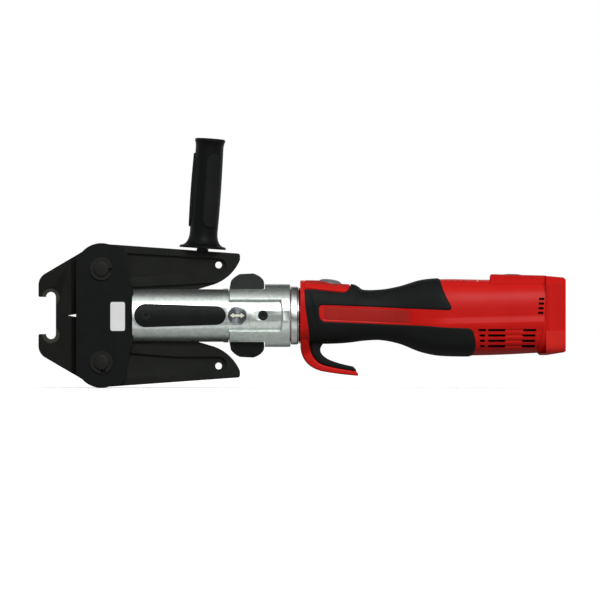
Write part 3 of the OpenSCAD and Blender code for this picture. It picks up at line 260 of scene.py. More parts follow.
plate_black = plain("black_oxide_plate", (14, 16, 15), (18, 20, 19), (0.42, 0.58), 60, 1400, 0.03, 0.07)
arm_black = plain("black_oxide_forging", (20, 22, 19), (26, 28, 24), (0.45, 0.65), 45, 900, 0.06, 0.09)
pin_black = plain("black_oxide_pin", (20, 21, 18), (28, 28, 24), (0.38, 0.55), 140, 1500, 0.03, 0.12)
strip_black = plain("black_cover_strip", (19, 21, 20), (24, 26, 25), (0.40, 0.55), 80, 1600, 0.02, 0.08)
zinc = metallic("zinc_plated_steel", (0.47, 0.51, 0.485), (0.60, 0.64, 0.615), (0.30, 0.44), 260, 900, 0.02)
turned_zinc = metallic("turned_zinc_steel", (0.46, 0.49, 0.47), (0.60, 0.63, 0.61), (0.26, 0.40), 180, 300, 0.012,
                       (9, 1, 1))
ground_steel = metallic("ground_steel", (0.52, 0.53, 0.54), (0.62, 0.63, 0.64), (0.18, 0.30), 90, 700, 0.01)
button_steel = metallic("spun_steel_button_painted_highlight", (0.22, 0.24, 0.27), (0.36, 0.38, 0.41), (0.22, 0.42), 400, 500, 0.02)
arrow_pale = plain("pale_arrow", (214, 217, 196), (226, 228, 208), (0.45, 0.60), 300, 1500, 0.02, 0.2)
red_nylon = plain("satin_red_nylon", (188, 20, 16), (197, 25, 20), (0.34, 0.46), 30, 2200, 0.018, 0.11)
red_matt = plain("matt_red_nylon", (184, 20, 16), (192, 25, 20), (0.5, 0.64), 30, 2200, 0.018, 0.04)
# A lighter copy of the red nylon, used as painted light on the lower sides of the dock.
red_painted_lighter = plain("red_nylon_painted_lighter", (198, 32, 26), (206, 38, 31), (0.32, 0.42), 30, 2200, 0.018, 0.14)
# Textured red of the stripe plates; it is also painted on the strap round the thumb button as painted shade.
textured_red_and_painted_shade = plain("textured_red_nylon_and_painted_shade", (154, 30, 25), (163, 35, 29), (0.52, 0.66), 40, 1300, 0.05, 0.1)
grip_rubber = plain("soft_black_grip", (19, 21, 20), (24, 26, 25), (0.50, 0.66), 35, 1700, 0.05, 0.07)
handle_nylon = plain("black_handle_nylon", (8, 9, 9), (12, 13, 13), (0.42, 0.54), 40, 1500, 0.04, 0.06)
handle_soft = plain("soft_handle_pad", (21, 23, 22), (26, 28, 27), (0.6, 0.74), 40, 1400, 0.05, 0.06)
tab_black = plain("moulded_black_tab", (22, 25, 23), (28, 32, 30), (0.42, 0.56), 60, 1500, 0.03, 0.08)
seal_rubber = plain("black_seal", (15, 16, 16), (22, 23, 23), (0.55, 0.7), 80, 1500, 0.03, 0.1)
grey_button = plain("grey_button_nylon", (94, 95, 97), (107, 108, 110), (0.34, 0.48), 50, 1600, 0.03, 0.2)
bare_white = plain("bare_white_vinyl", (214, 215, 214), (224, 225, 224), (0.32, 0.42), 60, 1500, 0.01, 0.3)
dark_screw = plain("dark_screw_steel", (14, 15, 15), (23, 24, 24), (0.32, 0.48), 300, 1800, 0.02, 0.2)
spring_wire = metallic("spring_wire", (0.33, 0.34, 0.35), (0.45, 0.46, 0.47), (0.28, 0.42), 200, 1500, 0.01)
grey_iron = metallic("machined_iron", (0.22, 0.23, 0.24), (0.32, 0.33, 0.34), (0.35, 0.5), 120, 900, 0.02)
dark_core = metallic("laminated_core", (0.06, 0.06, 0.065), (0.10, 0.10, 0.105), (0.4, 0.55), 80, 500, 0.02,
                     (8, 1, 1))
bush_bronze = metallic("bush_bronze", (0.42, 0.26, 0.10), (0.52, 0.34, 0.14), (0.3, 0.45), 90, 900, 0.02)
contact_brass = metallic("contact_brass", (0.50, 0.36, 0.14), (0.60, 0.44, 0.18), (0.28, 0.42), 120, 1200, 0.01)
board_green = finish("board_green", (0.012, 0.06, 0.02), (0.02, 0.09, 0.03), (0.3, 0.45), 150, 1600, 0.01)
black_nylon = plain("black_nylon", (12, 13, 13), (18, 19, 19), (0.5, 0.62), 60, 1500, 0.03, 0.08)
smoked_lens = plain("smoked_lens", (14, 15, 16), (19, 20, 21), (0.10, 0.18), 60, 900, 0.004, 0.2)
pale_lens = plain("pale_light_lens", (196, 198, 196), (210, 211, 209), (0.2, 0.3), 200, 1500, 0.004, 0.5)
print("finishes:", len(bpy.data.materials))

# %% Darker hooks, painted shade in their joints, worn rims round the ring seats
hook_length = 40


def joint_shade_and_worn_rims(material, seat_z, rim_r, worn):
    """Hooks darker than the levers, painted shade in their joint with the plates, a worn tone round the seat axes."""
    tree = material.node_tree
    shader = tree.nodes["Principled BSDF"]
    place = add(tree, "TexCoord", {}).outputs["Object"]
    fold = add(tree, "VectorMath", {0: place}, operation="ABSOLUTE").outputs["Vector"]
    flat = add(tree, "VectorMath", {0: fold, 1: (1, 0, 1)}, operation="MULTIPLY").outputs["Vector"]
    reach = add(tree, "VectorMath", {0: flat, 1: (0, 0, seat_z * MM)}, operation="DISTANCE").outputs["Value"]
    rim = add(tree, "MapRange", {"Value": reach, "From Min": rim_r * MM, "From Max": (rim_r - 0.5) * MM})
    split = add(tree, "SeparateXYZ", {0: place})
    along = add(tree, "MapRange", {"Value": split.outputs["X"], "From Min": 0, "From Max": hook_length * MM})
    # Painted shade: the ramp darkens the arms from 21.4 to 27 mm along, in the joint between hooks and plates; before
    # 20.5 mm the hooks are darker too.
    joint_shade = add(tree, "ValToRGB", {0: along.outputs["Result"]})
    stops = joint_shade.color_ramp.elements
    stops[0].position, stops[0].color = 20.5 / hook_length, (0.62, 0.62, 0.6, 1)
    stops[1].position, stops[1].color = 32 / hook_length, (1, 1, 1, 1)
    for x in (21.4, 27):
        stops.new(x / hook_length).color = (0.12, 0.12, 0.12, 1)
    base = shader.inputs["Base Color"].links[0].from_socket
    darker_hooks_and_joint_shade = mix(tree, 1, base, joint_shade.outputs["Color"], "MULTIPLY")
    fill(tree, shader, {"Base Color": mix(tree, rim.outputs["Result"], darker_hooks_and_joint_shade, (*worn, 1))})


joint_shade_and_worn_rims(arm_black, 19.5, 9.75, tone((52, 53, 46)))

# %% [markdown]
# ## Camera and studio
# The picture was taken level, straight on to the side, with a long lens, so the camera stands 30 m away and sees a
# frame of 630 mm. One broad soft light comes from above and in front, a little from the right, and the floor fills from
# below. Black, grey and pale cards that only reflections can see give the bright steel its bands, as in a photo studio.

# %% Camera
sensor, distance, frame_width = 36, 30.0, 0.630
camera_data = bpy.data.cameras.new("side_camera")
camera_data.sensor_width = sensor
camera_data.lens = sensor * distance / frame_width
camera_data.clip_end = 100
camera = in_scene("side_camera", camera_data)
camera.location = (0.26145, -distance, 0.01628)
camera.rotation_euler = (math.radians(90), 0, 0)
bpy.context.scene.camera = camera
bpy.context.scene.view_settings.view_transform = "Standard"
print("lens in mm:", round(camera_data.lens, 1))


# %% World: white where it is seen, soft where it only lights
def seen(tree):
    """1 for rays that show the background: from the camera, in a reflection or through glass."""
    ray = add(tree, "LightPath", {})
    either = add(tree, "Math", {0: ray.outputs["Is Camera Ray"], 1: ray.outputs["Is Glossy Ray"]}, operation="MAXIMUM")
    ends = {0: either.outputs[0], 1: ray.outputs["Is Transmission Ray"]}
    return add(tree, "Math", ends, operation="MAXIMUM").outputs[0]


world = bpy.data.worlds.new("studio")
bpy.context.scene.world = world
world.use_nodes = True
sky = world.node_tree
sky.nodes.clear()
soft_light, seen_white = (add(sky, "Background", {"Color": (1, 1, 1, 1), "Strength": strength})
                          for strength in (0.36, 1.0))
choose = add(sky, "MixShader", {0: seen(sky), 1: soft_light.outputs[0], 2: seen_white.outputs[0]})
add(sky, "OutputWorld", {"Surface": choose.outputs[0]})


# %% Floor and reflection cards
def level(ends, depth, z):
    """Corners of a level rectangle between two ends along the tool and two places in depth."""
    return [(ends[0], depth[0], z), (ends[1], depth[0], z), (ends[1], depth[1], z), (ends[0], depth[1], z)]


def stage_sheet(name, corners, material, only_reflected=True):
    """A flat stage piece through four corners in metres; a card is seen by glossy rays alone."""
    mesh = bpy.data.meshes.new(name)
    mesh.from_pydata(corners, [], [[0, 1, 2, 3]])
    mesh.materials.append(material)
    sheet = in_scene(name, mesh)
    if only_reflected:
        sheet.visible_camera = sheet.visible_diffuse = sheet.visible_shadow = sheet.visible_transmission = False


floor_white = bpy.data.materials.new("white_floor")
floor_white.use_nodes = True
floor_tree = floor_white.node_tree
floor_tree.nodes.clear()
paper = mix(floor_tree, seen(floor_tree), (0.25, 0.25, 0.25, 1), (1.45, 1.45, 1.45, 1))
matt = add(floor_tree, "BsdfDiffuse", {"Color": paper})
add(floor_tree, "OutputMaterial", {"Surface": matt.outputs[0]})
floor_z = cad_box[0][2] - 0.0003
stage_sheet("floor", level((-8, 9), (-34, 9), floor_z), floor_white, False)

card_black, card_pale, card_grey = (
    finish(name, dark, light, (0.8, 0.95), 20, 300, 0.01, specular=0.0) for name, dark, light in (
        ("black_card", (0.010, 0.010, 0.010), (0.020, 0.020, 0.020)),
        ("pale_card", (0.64, 0.66, 0.64), (0.68, 0.70, 0.68)),
        ("grey_card", (0.28, 0.29, 0.28), (0.32, 0.33, 0.32))))
arch_r, pale_cards = 1.6, 7
turn = np.radians(np.linspace(84, 150, 12))
arch = np.stack([-arch_r * np.cos(turn), arch_r * np.sin(turn)], -1)
for k, (low, high) in enumerate(zip(arch[:-1], arch[1:])):
    stage_sheet(f"overhead_card_{k}", [(-1.4, *low), (2.0, *low), (2.0, *high), (-1.4, *high)],
                card_pale if k < pale_cards else card_black)
low_z, front_top, front_y, (left, right) = floor_z + 0.001, 0.012, -0.30, (-1.0, 1.6)
stage_sheet("front_card", [(left, front_y, low_z), (right, front_y, low_z), (right, front_y, front_top),
                           (left, front_y, front_top)], card_black)
for name, ends, depth, card in (("front_floor_card", (left, right), (front_y, -0.18), card_grey),
                                ("mid_floor_card", (-0.6, 1.2), (-0.075, 0.03), card_pale),
                                ("back_floor_card", (-0.6, 1.2), (0.03, 0.7), card_grey)):
    stage_sheet(name, level(ends, depth, low_z), card)
print("overhead cards:", len(arch) - 1)

# %% Lamp
elevation, azimuth = 36, 12
key = bpy.data.lights.new("key_light", "SUN")
key.energy, key.angle = 2.5, math.radians(27)
in_scene("key_light", key).rotation_euler = (math.radians(90 - elevation), 0, math.radians(azimuth))

# %% [markdown]
# ## Machined steel
# Arms, plates, pins, barrel and collar have their true shape in the CAD model already. What is missing is the small
# rounding that every real edge has and that catches the light. The CAD mesh is loose triangles, so a copy is merged,
# its flat triangles are joined to whole faces, and a Bevel rounds the edges. The copy then stands for its node.

# %% Round the edges of a copy
crease = 32
body_of = {node: body for body, nodes in frame["record"]["behaviour"]["bodies"].items() for node in nodes}


def merged_copy(node, material):
    """Copy of a CAD node with merged points and whole flat faces, which stands for that node."""
    mesh = frame["nodes"][node].data.copy()
    mesh.name = node + "_rounded"
    rework(mesh, lambda build: bmesh.ops.remove_doubles(build, verts=build.verts, dist=0.003 * MM),
           lambda build: bmesh.ops.dissolve_limit(build, angle_limit=math.radians(0.6), verts=build.verts,
                                                  edges=build.edges))
    mesh.materials.clear()
    mesh.materials.append(material)
    smooth(mesh, crease)
    copy = in_scene(node + "_rounded", mesh)
    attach(copy, body_of[node])
    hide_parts(node)
    return copy


def round_edges(copy, width, segments=2):
    """Rounds the edges of a copy by width in millimetres and keeps the flats flat to the light."""
    edge = copy.modifiers.new("edge", "BEVEL")
    edge.width, edge.segments, edge.limit_method = width * MM, segments, "ANGLE"
    edge.angle_limit, edge.harden_normals = math.radians(crease), True


steel_edges = {
    "upper_jaw": (arm_black, 0.8), "lower_jaw": (arm_black, 0.8),
    "jaw_pins": (pin_black, 0.3), "pin_clips": (pin_black, 0.15),
    "barrel": (zinc, 0.4), "cover_strips": (strip_black, 0.25), "strip_screws": (dark_screw, 0.15),
    "coupling_collar": (zinc, 0.35),
    "cylinder_body": (zinc, 0.3), "gland_screws": (dark_screw, 0.25), "neck_ring": (turned_zinc, 0.25),
    "neck_seal": (seal_rubber, 0.2), "handle_stud": (dark_screw, 0.25), "housing_screws": (dark_screw, 0.2),
    "roller_carriage": (grey_iron, 0.5), "upper_roller": (ground_steel, 0.4), "lower_roller": (ground_steel, 0.4),
    "terminals": (contact_brass, 0.25),
}
for node, (material, width) in steel_edges.items():
    round_edges(merged_copy(node, material), width)
print("rounded copies:", len(steel_edges))

# %% [markdown]
# ## Release tabs and side plates
# The two tabs are moulded with sides that lean in, so that a thumb finds their crown. The copy of each CAD tab is drawn
# in across the tool, more and more towards the crown, and then its edges are rounded. The side plates are let into the
# front end of the barrel, so the rear edge of their copies reaches 2.4 mm further above and below the barrel's axis.

# %% Leaning tabs, plates let into the barrel
def reshape(copy, change):
    """Moves the corners of a copy: change takes their three coordinates in millimetres and gives new ones."""
    corner = np.empty(3 * len(copy.data.vertices))
    copy.data.vertices.foreach_get("co", corner)
    corner = np.stack(change(*(corner.reshape(-1, 3).T / MM)), -1)
    copy.data.vertices.foreach_set("co", corner.ravel() * MM)


tab_half, tab_lean, tab_root, tab_rise = 12, 0.42, 29, 15.2
plate_reach = 2.4
for node in ("upper_tab", "lower_tab"):
    tab = merged_copy(node, tab_black)
    reshape(tab, lambda x, y, z: (x, y * (1 - tab_lean * np.clip((np.abs(z) - tab_root) / tab_rise, 0, 1)), z))
    round_edges(tab, 1.0, 3)
for node in ("side_plate_front", "side_plate_rear"):
    plate = merged_copy(node, plate_black)
    reshape(plate, lambda x, y, z: (
        x + plate_reach * np.interp(np.abs(z), [12, 21, 28, 37], [0, 1, 1, 0]) * ((x > 82) & (x < 86)), y, z))
    round_edges(plate, 0.7)
print("tab crown half width:", round(tab_half * (1 - tab_lean), 1), "mm")

# %% [markdown]
# ## Parts that stay as they are
# Springs, gears, the pump and the motor sit inside. Their CAD shape is right, so they keep it and only get a finish.

# %% Finishes for the inner nodes
inner_finish = {
    spring_wire: "jaw_springs lock_spring upper_tab_spring lower_tab_spring return_spring",
    ground_steel: "ram_rod roller_axles pump_plunger planet_1 planet_2 planet_3 motor_rotor motor_bearings",
    grey_iron: "piston pump_body gear_case planet_carrier", bush_bronze: "swivel_bush", dark_core: "motor_stator",
    black_nylon: "cooling_fan switch_block", board_green: "control_board", red_nylon: "support_frames",
}
for material, nodes in inner_finish.items():
    for node in nodes.split():
        frame["nodes"][node].data.materials.clear()
        frame["nodes"][node].data.materials.append(material)
print("finishes used inside:", len(inner_finish))

# %% [markdown]
# ## The skin of the drive
# The drive's body is a row of rounded square sections along the tool axis: high at the nose, narrow at the grip, broad
# over the motor. Between the key sections each size follows a smooth cubic. A section is a superellipse: the cosine and
# sine of the section angle raised to a power below 1 push the corners out. Everything on the drive uses this skin.

# %% Key sections and the skin function
grip_t = 1.2
nose_x, dock_x = 261.6, 519.5
skin_keys = np.array([
    [nose_x, 35.8, -28.8, 31.8, 2.6], [283.6, 35.3, -28.8, 31.8, 2.6], [303.6, 32.2, -28.2, 30.3, 2.5],
    [316.6, 30.8, -27.0, 28.1, 2.4], [326.6, 26.8, -25.6, 26.1, 2.4], [345.6, 26.2, -24.8, 25.3, 2.3],
    [366.1, 29.8, -28.8, 27.7, 2.4], [387.6, 36.2, -37.2, 32.8, 2.6], [409.6, 38.2, -41.4, 37.0, 2.8],
    [459.6, 37.6, -41.6, 37.5, 3.0], [dock_x, 37.4, -38.8, 37.0, 3.2]])


def skin_value(x, column):
    """Cubic through the keys: each piece leaves and arrives with the slope between its outer neighbours."""
    place, value = skin_keys[:, 0], skin_keys[:, column]
    before, after = np.maximum(np.arange(len(place)) - 1, 0), np.minimum(np.arange(len(place)) + 1, len(place) - 1)
    slope = (value[after] - value[before]) / (place[after] - place[before])
    i = np.clip(np.searchsorted(place, x, side="right") - 1, 0, len(place) - 2)
    h = place[i + 1] - place[i]
    t = np.clip((x - place[i]) / h, 0, 1)
    return ((2 * t**3 - 3 * t**2 + 1) * value[i] + (t**3 - 2 * t**2 + t) * h * slope[i]
            + (3 * t**2 - 2 * t**3) * value[i + 1] + (t**3 - t**2) * h * slope[i + 1])


def signed_power(v, p):
    """Size of v to the power p, with the sign of v."""
    return np.sign(v) * np.abs(v) ** p


def skin_point(x, angle, out=0.0):
    """Point at place x and section angle in degrees, moved out by out: y and z are powers of cosine and sine."""
    x, angle = np.broadcast_arrays(np.asarray(x, float), np.asarray(angle, float))
    top, low, half = skin_value(x, 1) + out, skin_value(x, 2) - out, skin_value(x, 3) + out
    p, a = 2 / skin_value(x, 4), np.radians(angle)
    cos, sin = np.round(np.cos(a), 12), np.round(np.sin(a), 12)
    return np.stack([x, half * signed_power(cos, p), (top + low) / 2 + (top - low) / 2 * signed_power(sin, p)], -1)


def skin_angle(x, z):
    """Section angle on the side that faces the camera where the skin at x has the height z."""
    top, low, n = skin_value(x, 1), skin_value(x, 2), skin_value(x, 4)
    v = np.clip((2 * z - top - low) / (top - low), -1, 1)
    return 180 - np.degrees(np.arcsin(signed_power(v, n / 2)))


def rise(distance, radius):
    """Quarter round: 0 at an edge, 1 from radius inwards."""
    return np.sqrt(1 - (1 - np.clip(distance / radius, 0, 1)) ** 2)


def ramp(v, low, high):
    """Smooth step from 0 at low to 1 at high."""
    t = np.clip((v - low) / (high - low), 0, 1)
    return t * t * (3 - 2 * t)


print("height at the grip waist:", round(float(skin_value(345.6, 1) - skin_value(345.6, 2)), 1), "mm")

# %% [markdown]
# ## Red shells
# Two moulded half shells meet in the middle plane. A shell is one grid over place and section angle, with a second grid
# a wall further in. Shallow forms on it are added to the distance of the skin: the sunken panel in the side stripe, the
# belt behind it and the grooves between the air slots. The slots themselves go right through and are cut; on the rear
# side two of them make room for a housing screw.

# %% Shallow forms on the shells
stripe_x, stripe_half = 280.2, 8.7
slot_z, slot_pitch, slot_height = -15.3, 5.6, 2.5


def stripe_mid(x):
    """Height of the middle of the side stripe, which falls slowly to the rear."""
    return 2.2 - 0.042 * (x - 290.6)


def belt(x, z):
    """Distance out of the skin along the belt: it starts at a crisp line and fades downwards."""
    below = np.clip(-2.0 + 0.025 * (x - 440) - z, 0, None)
    return 1.3 * np.clip(below / 6, 0, 1) * (1 - ramp(below, 8, 18)) * ramp(x, 376, 420)


def shell_relief(x, z):
    """Distance out of the skin: a sunken panel in the stripe, the belt and grooves between the slots."""
    panel = ramp(x, 284.5, 287) * (1 - ramp(x, 376.4, 377.8))
    panel = panel * ramp(stripe_half - 1.1 - np.abs(z - stripe_mid(x)), 0, 0.8)
    row = (z - slot_z) / slot_pitch
    row = np.abs(row - np.round(row)) * slot_pitch
    groove = ramp(1.5 - row, 0, 0.7) * ramp(x, 476, 477.5) * (1 - ramp(x, 495, 496.5))
    groove = groove * ramp(-z, 12.4, 13.4) * ramp(z, -35, -34)
    return -0.5 * panel + belt(x, z) - 0.45 * groove


# %% Two half shells
wall, edge_r, mid_gap = 3.0, 0.4, 0.03


def sided_sheet(x, angle, out, under, side, gap=0.0):
    """Sheet between two distances out of the skin, moved off the middle plane by gap and mirrored for side 1."""
    outer, inner = skin_point(x, angle, out), skin_point(x, angle, under)
    for grid in (outer, inner):
        grid[..., 1] = (grid[..., 1] - gap) * -side
    return slab(outer, inner)


def shell(side):
    """Half shell on one side (-1 faces the camera): outer grid on the skin, inner grid a wall further in."""
    x = np.concatenate([np.linspace(265.1, 438, 105), np.linspace(439, dock_x, 82)])[:, None]
    close = 180 / np.pi * np.arcsin([0.0, 0.0006, 0.0015, 0.0035, 0.012])
    angle = np.concatenate([90 + close, np.linspace(92.5, 178, 50), np.linspace(178.3, 184, 24),
                            np.linspace(184.8, 244, 74), np.linspace(245.5, 267.5, 14), 270 - close[::-1]])[None, :]
    bare = skin_point(x, angle)
    edge = edge_r * (1 - rise(np.abs(bare[..., 1]), edge_r))
    return sided_sheet(x, angle, shell_relief(x, bare[..., 2]) - edge, -wall, side, mid_gap)


front_shell = piece("front_shell", shell(-1), "drive", red_nylon, ["housing_front"])
rear_shell = piece("rear_shell", shell(1), "drive", red_nylon, ["housing_rear"])


# %% Air slots, button hole and screw seats
def slot_cutter(x0, x1, z, height, side):
    """Straight bar across one wall with a stadium section: two half circles of the slot's height and a flat between."""
    a = np.radians(np.linspace(-90, 90, 9))
    r = height / 2
    ring = np.concatenate([np.stack([x1 - r + r * np.cos(a), z + r * np.sin(a)], -1),
                           np.stack([x0 + r - r * np.cos(a), z - r * np.sin(a)], -1)])
    return spanned((ring, side * 20.0), (ring, side * 60.0))


def bar_cutter(centre, axis_z, steps):
    """Stepped round bar about an axis: steps are pairs of radius and height along that axis."""
    axis = np.array(axis_z, float) / np.linalg.norm(axis_z)
    side = np.cross(axis, [0, 1, 0]) if abs(axis[1]) < 0.9 else np.array([1.0, 0, 0])
    other = np.cross(axis, side)
    a = np.radians(np.arange(0, 360, 7.5))[:, None]
    ring = np.cos(a) * side + np.sin(a) * other
    return tube(np.stack([np.array(centre) + radius * ring + axis * height for radius, height in steps]))


thumb_at, thumb_tilt, thumb_hole_r = np.array([293.0, 0.0, 34.4]), math.radians(7), 14.6
thumb_axis = np.array([math.sin(thumb_tilt), 0, math.cos(thumb_tilt)])
screw_seats = [(321.6, 0.9), (383.6, -1.5), (461.6, 24.0), (451.6, -8.0), (505.6, -24.0)]
screw_r, head_r, seat_depth = 1.7, 3.7, 1.2
slot_columns = ((448.2, 456.6, -0.25, 1.0), (458.5, 477, 0, 0), (495.2, 509.4, 0.8, 0))
for shell_piece, side in ((front_shell, -1), (rear_shell, 1)):
    cuts = [slot_cutter(511.9 - 0.35 * i, 517.9 - 0.35 * i, 17.4 - 4.9 * i, slot_height, side) for i in range(4)]
    cuts += [slot_cutter(x0 + (short - shift) * i ** 0.5, x1 - (short + shift) * i ** 0.5, slot_z - slot_pitch * i,
                         slot_height, side)
             for i in range(4) for x0, x1, shift, short in slot_columns if side < 0 or x0 < 490 or i in (0, 3)]
    cuts.append(bar_cutter(thumb_at - [2, 0, 0], thumb_axis, [(thumb_hole_r, -8), (thumb_hole_r, 20)]))
    carve(shell_piece, cuts)
seats = [-float(skin_point(x, skin_angle(x, z))[1]) - seat_depth for x, z in screw_seats]
carve(rear_shell, [bar_cutter((x, 0, z), (0, 1, 0), [(screw_r, 5), (screw_r, seat), (head_r, seat), (head_r, 60)])
                   for (x, z), seat in zip(screw_seats, seats)])

# %% [markdown]
# ## Painted shade behind the slots
# Behind the air slots the inside looks black. A thin black sheet follows the inner wall there on each side: painted
# shade that stands in for the dark inside.

# %% Black sheets behind the slots, as painted shade
def slot_shade_sheet(side):
    """Thin sheet over place and section angle, just inside the shell wall."""
    x, angle = np.linspace(442, 518.5, 40)[:, None], np.linspace(150, 252, 40)[None, :]
    return sided_sheet(x, angle, -wall - 0.3, -wall - 0.7, side)


for side, name in ((-1, "slot_shade_sheet_front"), (1, "slot_shade_sheet_rear")):
    piece(name, slot_shade_sheet(side), "drive", black_nylon)

# %% [markdown]
# ## Sunken panel
# The red stripe along the grip has a fine texture over most of its length, a shade darker than the smooth shell round
# it. It is a thin plate on the bottom of the sunken panel, one on each side.

# %% Textured plates in the stripe
def stripe_plate(side):
    """Grid over place and height inside the panel; both ends and edges dip by a quarter round."""
    start, end, reach = 286.4, 376.2, 87
    u, v = np.linspace(0, 1, 90)[:, None], np.linspace(-1, 1, 17)[None, :]
    x = start + (end - start) * u + 0 * v
    half = (stripe_half - 1.7) * np.sqrt(1 - 0.75 * (1 - np.clip(u * reach / 3.5, 0, 1)) ** 2)
    angle = skin_angle(x, stripe_mid(x) + half * v)
    near = np.minimum(np.minimum(u, 1 - u) * reach, (1 - np.abs(v)) * half)
    return sided_sheet(x, angle, -0.46 + 0.22 * rise(near, 0.8), -0.9, side)


for side, name in ((-1, "stripe_plate_front"), (1, "stripe_plate_rear")):
    piece(name, stripe_plate(side), "drive", textured_red_and_painted_shade)

# %% [markdown]
# ## Soft grip
# Black rubber is moulded over the red shell like the letter C: above the stripe, round its front end and below it. Rows
# of the grid run from the stripe out to the top, the nose ring or the bottom, so the grid bends with the C. The rubber
# stands 1.2 mm proud and its edges fall to the shell in a quarter round.

# %% Edges of the grip
strap_end_x = 314.2


def strap_z(x):
    """Lower edge of the red strap over the nose."""
    return 28.4 - 0.1 * (x - 265.6)


def bezel_x(z):
    """Rear edge of the nose ring, which widens downwards."""
    return np.interp(z, [-40, -28.9, -11, 4, 14.2, 28.4], [272.8, 271.7, 270.0, 267.5, 266.4, 265.7])


def grip_edges():
    """Inner and outer edge of the C as places and section angles, matched point by point."""
    upper, corner_up = np.linspace(420.8, 317, 34), np.linspace(314.5, 291, 8)
    turn = np.radians(np.linspace(96, 264, 22))
    end_x = stripe_x + stripe_half * (1 + signed_power(np.cos(turn), 0.62))
    end_z = stripe_mid(end_x) + stripe_half * signed_power(np.sin(turn), 0.62)
    end_x = end_x + 1.4 * (1 - np.sin(turn)) * np.clip((stripe_x + 9 - end_x) / 9, 0, 1)
    lower = np.linspace(294, 441.4, 46)
    inner_x = np.concatenate([upper, corner_up, end_x, lower])
    inner_z = np.concatenate([stripe_mid(upper) + stripe_half, stripe_mid(corner_up) + stripe_half,
                              end_z, stripe_mid(lower) - stripe_half])
    top = np.stack([np.linspace(408.4, strap_end_x + 0.4, 34), np.full(34, 90.0)], -1)
    corner_x = np.array([314.2, 311.5, 307.6, 300, 292, 284, 275, 267.0])
    corner_z = np.array([28.6, 25.6, 23.7, 24.4, 25.2, 26.0, 26.9, 27.7])
    corner = np.stack([corner_x, skin_angle(corner_x, corner_z)], -1)
    front_z = np.linspace(26.6, -24.5, 17)
    front = np.stack([bezel_x(front_z) + 0.1, skin_angle(bezel_x(front_z) + 0.1, front_z)], -1)
    foot = front[-1] + (np.array([271.6, 270.0]) - front[-1]) * np.linspace(0.2, 1, 5)[:, None]
    bottom = np.stack([np.linspace(275, 441.4, 46), np.full(46, 270.0)], -1)
    inner = np.stack([inner_x, skin_angle(inner_x, inner_z)], -1)
    return inner, np.concatenate([top, corner, front, foot, bottom])


grip_inner, grip_outer = grip_edges()
print("grip rows:", len(grip_inner), len(grip_outer))


# %% Grip surface
upper_lobe_z = [5.2, 5.8, 6.9, 8.4, 12.1, 18.4, 26.8, 34.1, 38.6]
upper_lobe_x = [417.6, 419.3, 420.4, 420.6, 419.2, 415.6, 411.9, 409.6, 408.4]
lower_lobe_z = [-43, -40.5, -36.2, -31, -25.7, -19, -15, -13.4, -12.9]
lower_lobe_x = [441.2, 443.2, 445.2, 445.9, 445.7, 444.2, 442.6, 441.4, 440.2]
knuckle_x = [314.2, 316, 319, 321.5, 323, 324.5, 326, 327.5, 331, 336, 343]
knuckle_out = [0.9, 1.0, 1.5, 1.6, 1.2, 0.5, -0.3, -0.8, -0.6, -0.3, 0]


def grip_grid():
    """Places and section angles from stripe to outer edge, with close steps at the edges; lobes end the C."""
    inner, outer = grip_inner[:, None, :], grip_outer[:, None, :]
    ends = np.linalg.norm(skin_point(*grip_inner.T) - skin_point(*grip_outer.T), axis=-1)[:, None]
    close, inset = np.array([0.0, 0.05, 0.16, 0.36, 0.68, 1.1, 1.7]), 2.6
    field = inset / ends + np.linspace(0, 1, 26)[None, :] * (1 - 2 * inset / ends)
    t = np.concatenate([close / ends, field, 1 - close[::-1] / ends], axis=1)
    place = inner + (outer - inner) * t[..., None]
    fade = np.clip(1 - np.arange(len(place)) / 22, 0, 1)[:, None]
    for row, lobe_z, lobe_x, share in ((place[0], upper_lobe_z, upper_lobe_x, fade),
                                       (place[-1], lower_lobe_z, lower_lobe_x, fade[::-1])):
        wanted = np.interp(skin_point(row[:, 0], row[:, 1])[:, 2], lobe_z, lobe_x)
        place[..., 0] += (wanted - row[:, 0])[None, :] * share
    return place[..., 0], place[..., 1], np.minimum(t * ends, (1 - t) * ends)


def grip(side):
    """Rubber over the grid: round edges, a valley behind the nose ring and a knuckle behind the thumb strap."""
    x, angle, side_edge = grip_grid()
    points = skin_point(x, angle)
    z = points[..., 2]
    step = np.linalg.norm(np.diff(points, axis=0), axis=-1)
    from_start = np.concatenate([np.zeros((1, points.shape[1])), np.cumsum(step, axis=0)])
    edge = np.minimum(side_edge, np.minimum(from_start, from_start[-1:] - from_start))
    valley = 0.95 * (1 - ramp(x - (nose_x + 8.5) - np.clip(26 - z, 0, None) * 0.24, 0, 3.6))
    out = grip_t * rise(edge, 1.15) - valley * rise(edge, 1.15) * (z > -30) - 0.05
    follow = np.minimum(belt(x, z), 0.35)
    knuckle = np.interp(x, knuckle_x, knuckle_out) * (1 - ramp(np.abs(angle - 90), 20, 60)) * rise(edge, 2.4)
    return sided_sheet(x, angle, out + follow + knuckle, follow - 0.3, side, mid_gap)


piece("grip_skin_front", grip(-1), "drive", grip_rubber, ["grip_front"])
piece("grip_skin_rear", grip(1), "drive", grip_rubber, ["grip_rear"])


# %% [markdown]
# ## Nose ring and thumb strap
# A red ring closes the front of the shells. Its profile is carried round the section angle: bore, flat front face, a
# round shoulder and a raised rear rim that widens towards the finger hook. On top of the nose a red strap with a raised
# rim frames the thumb button.

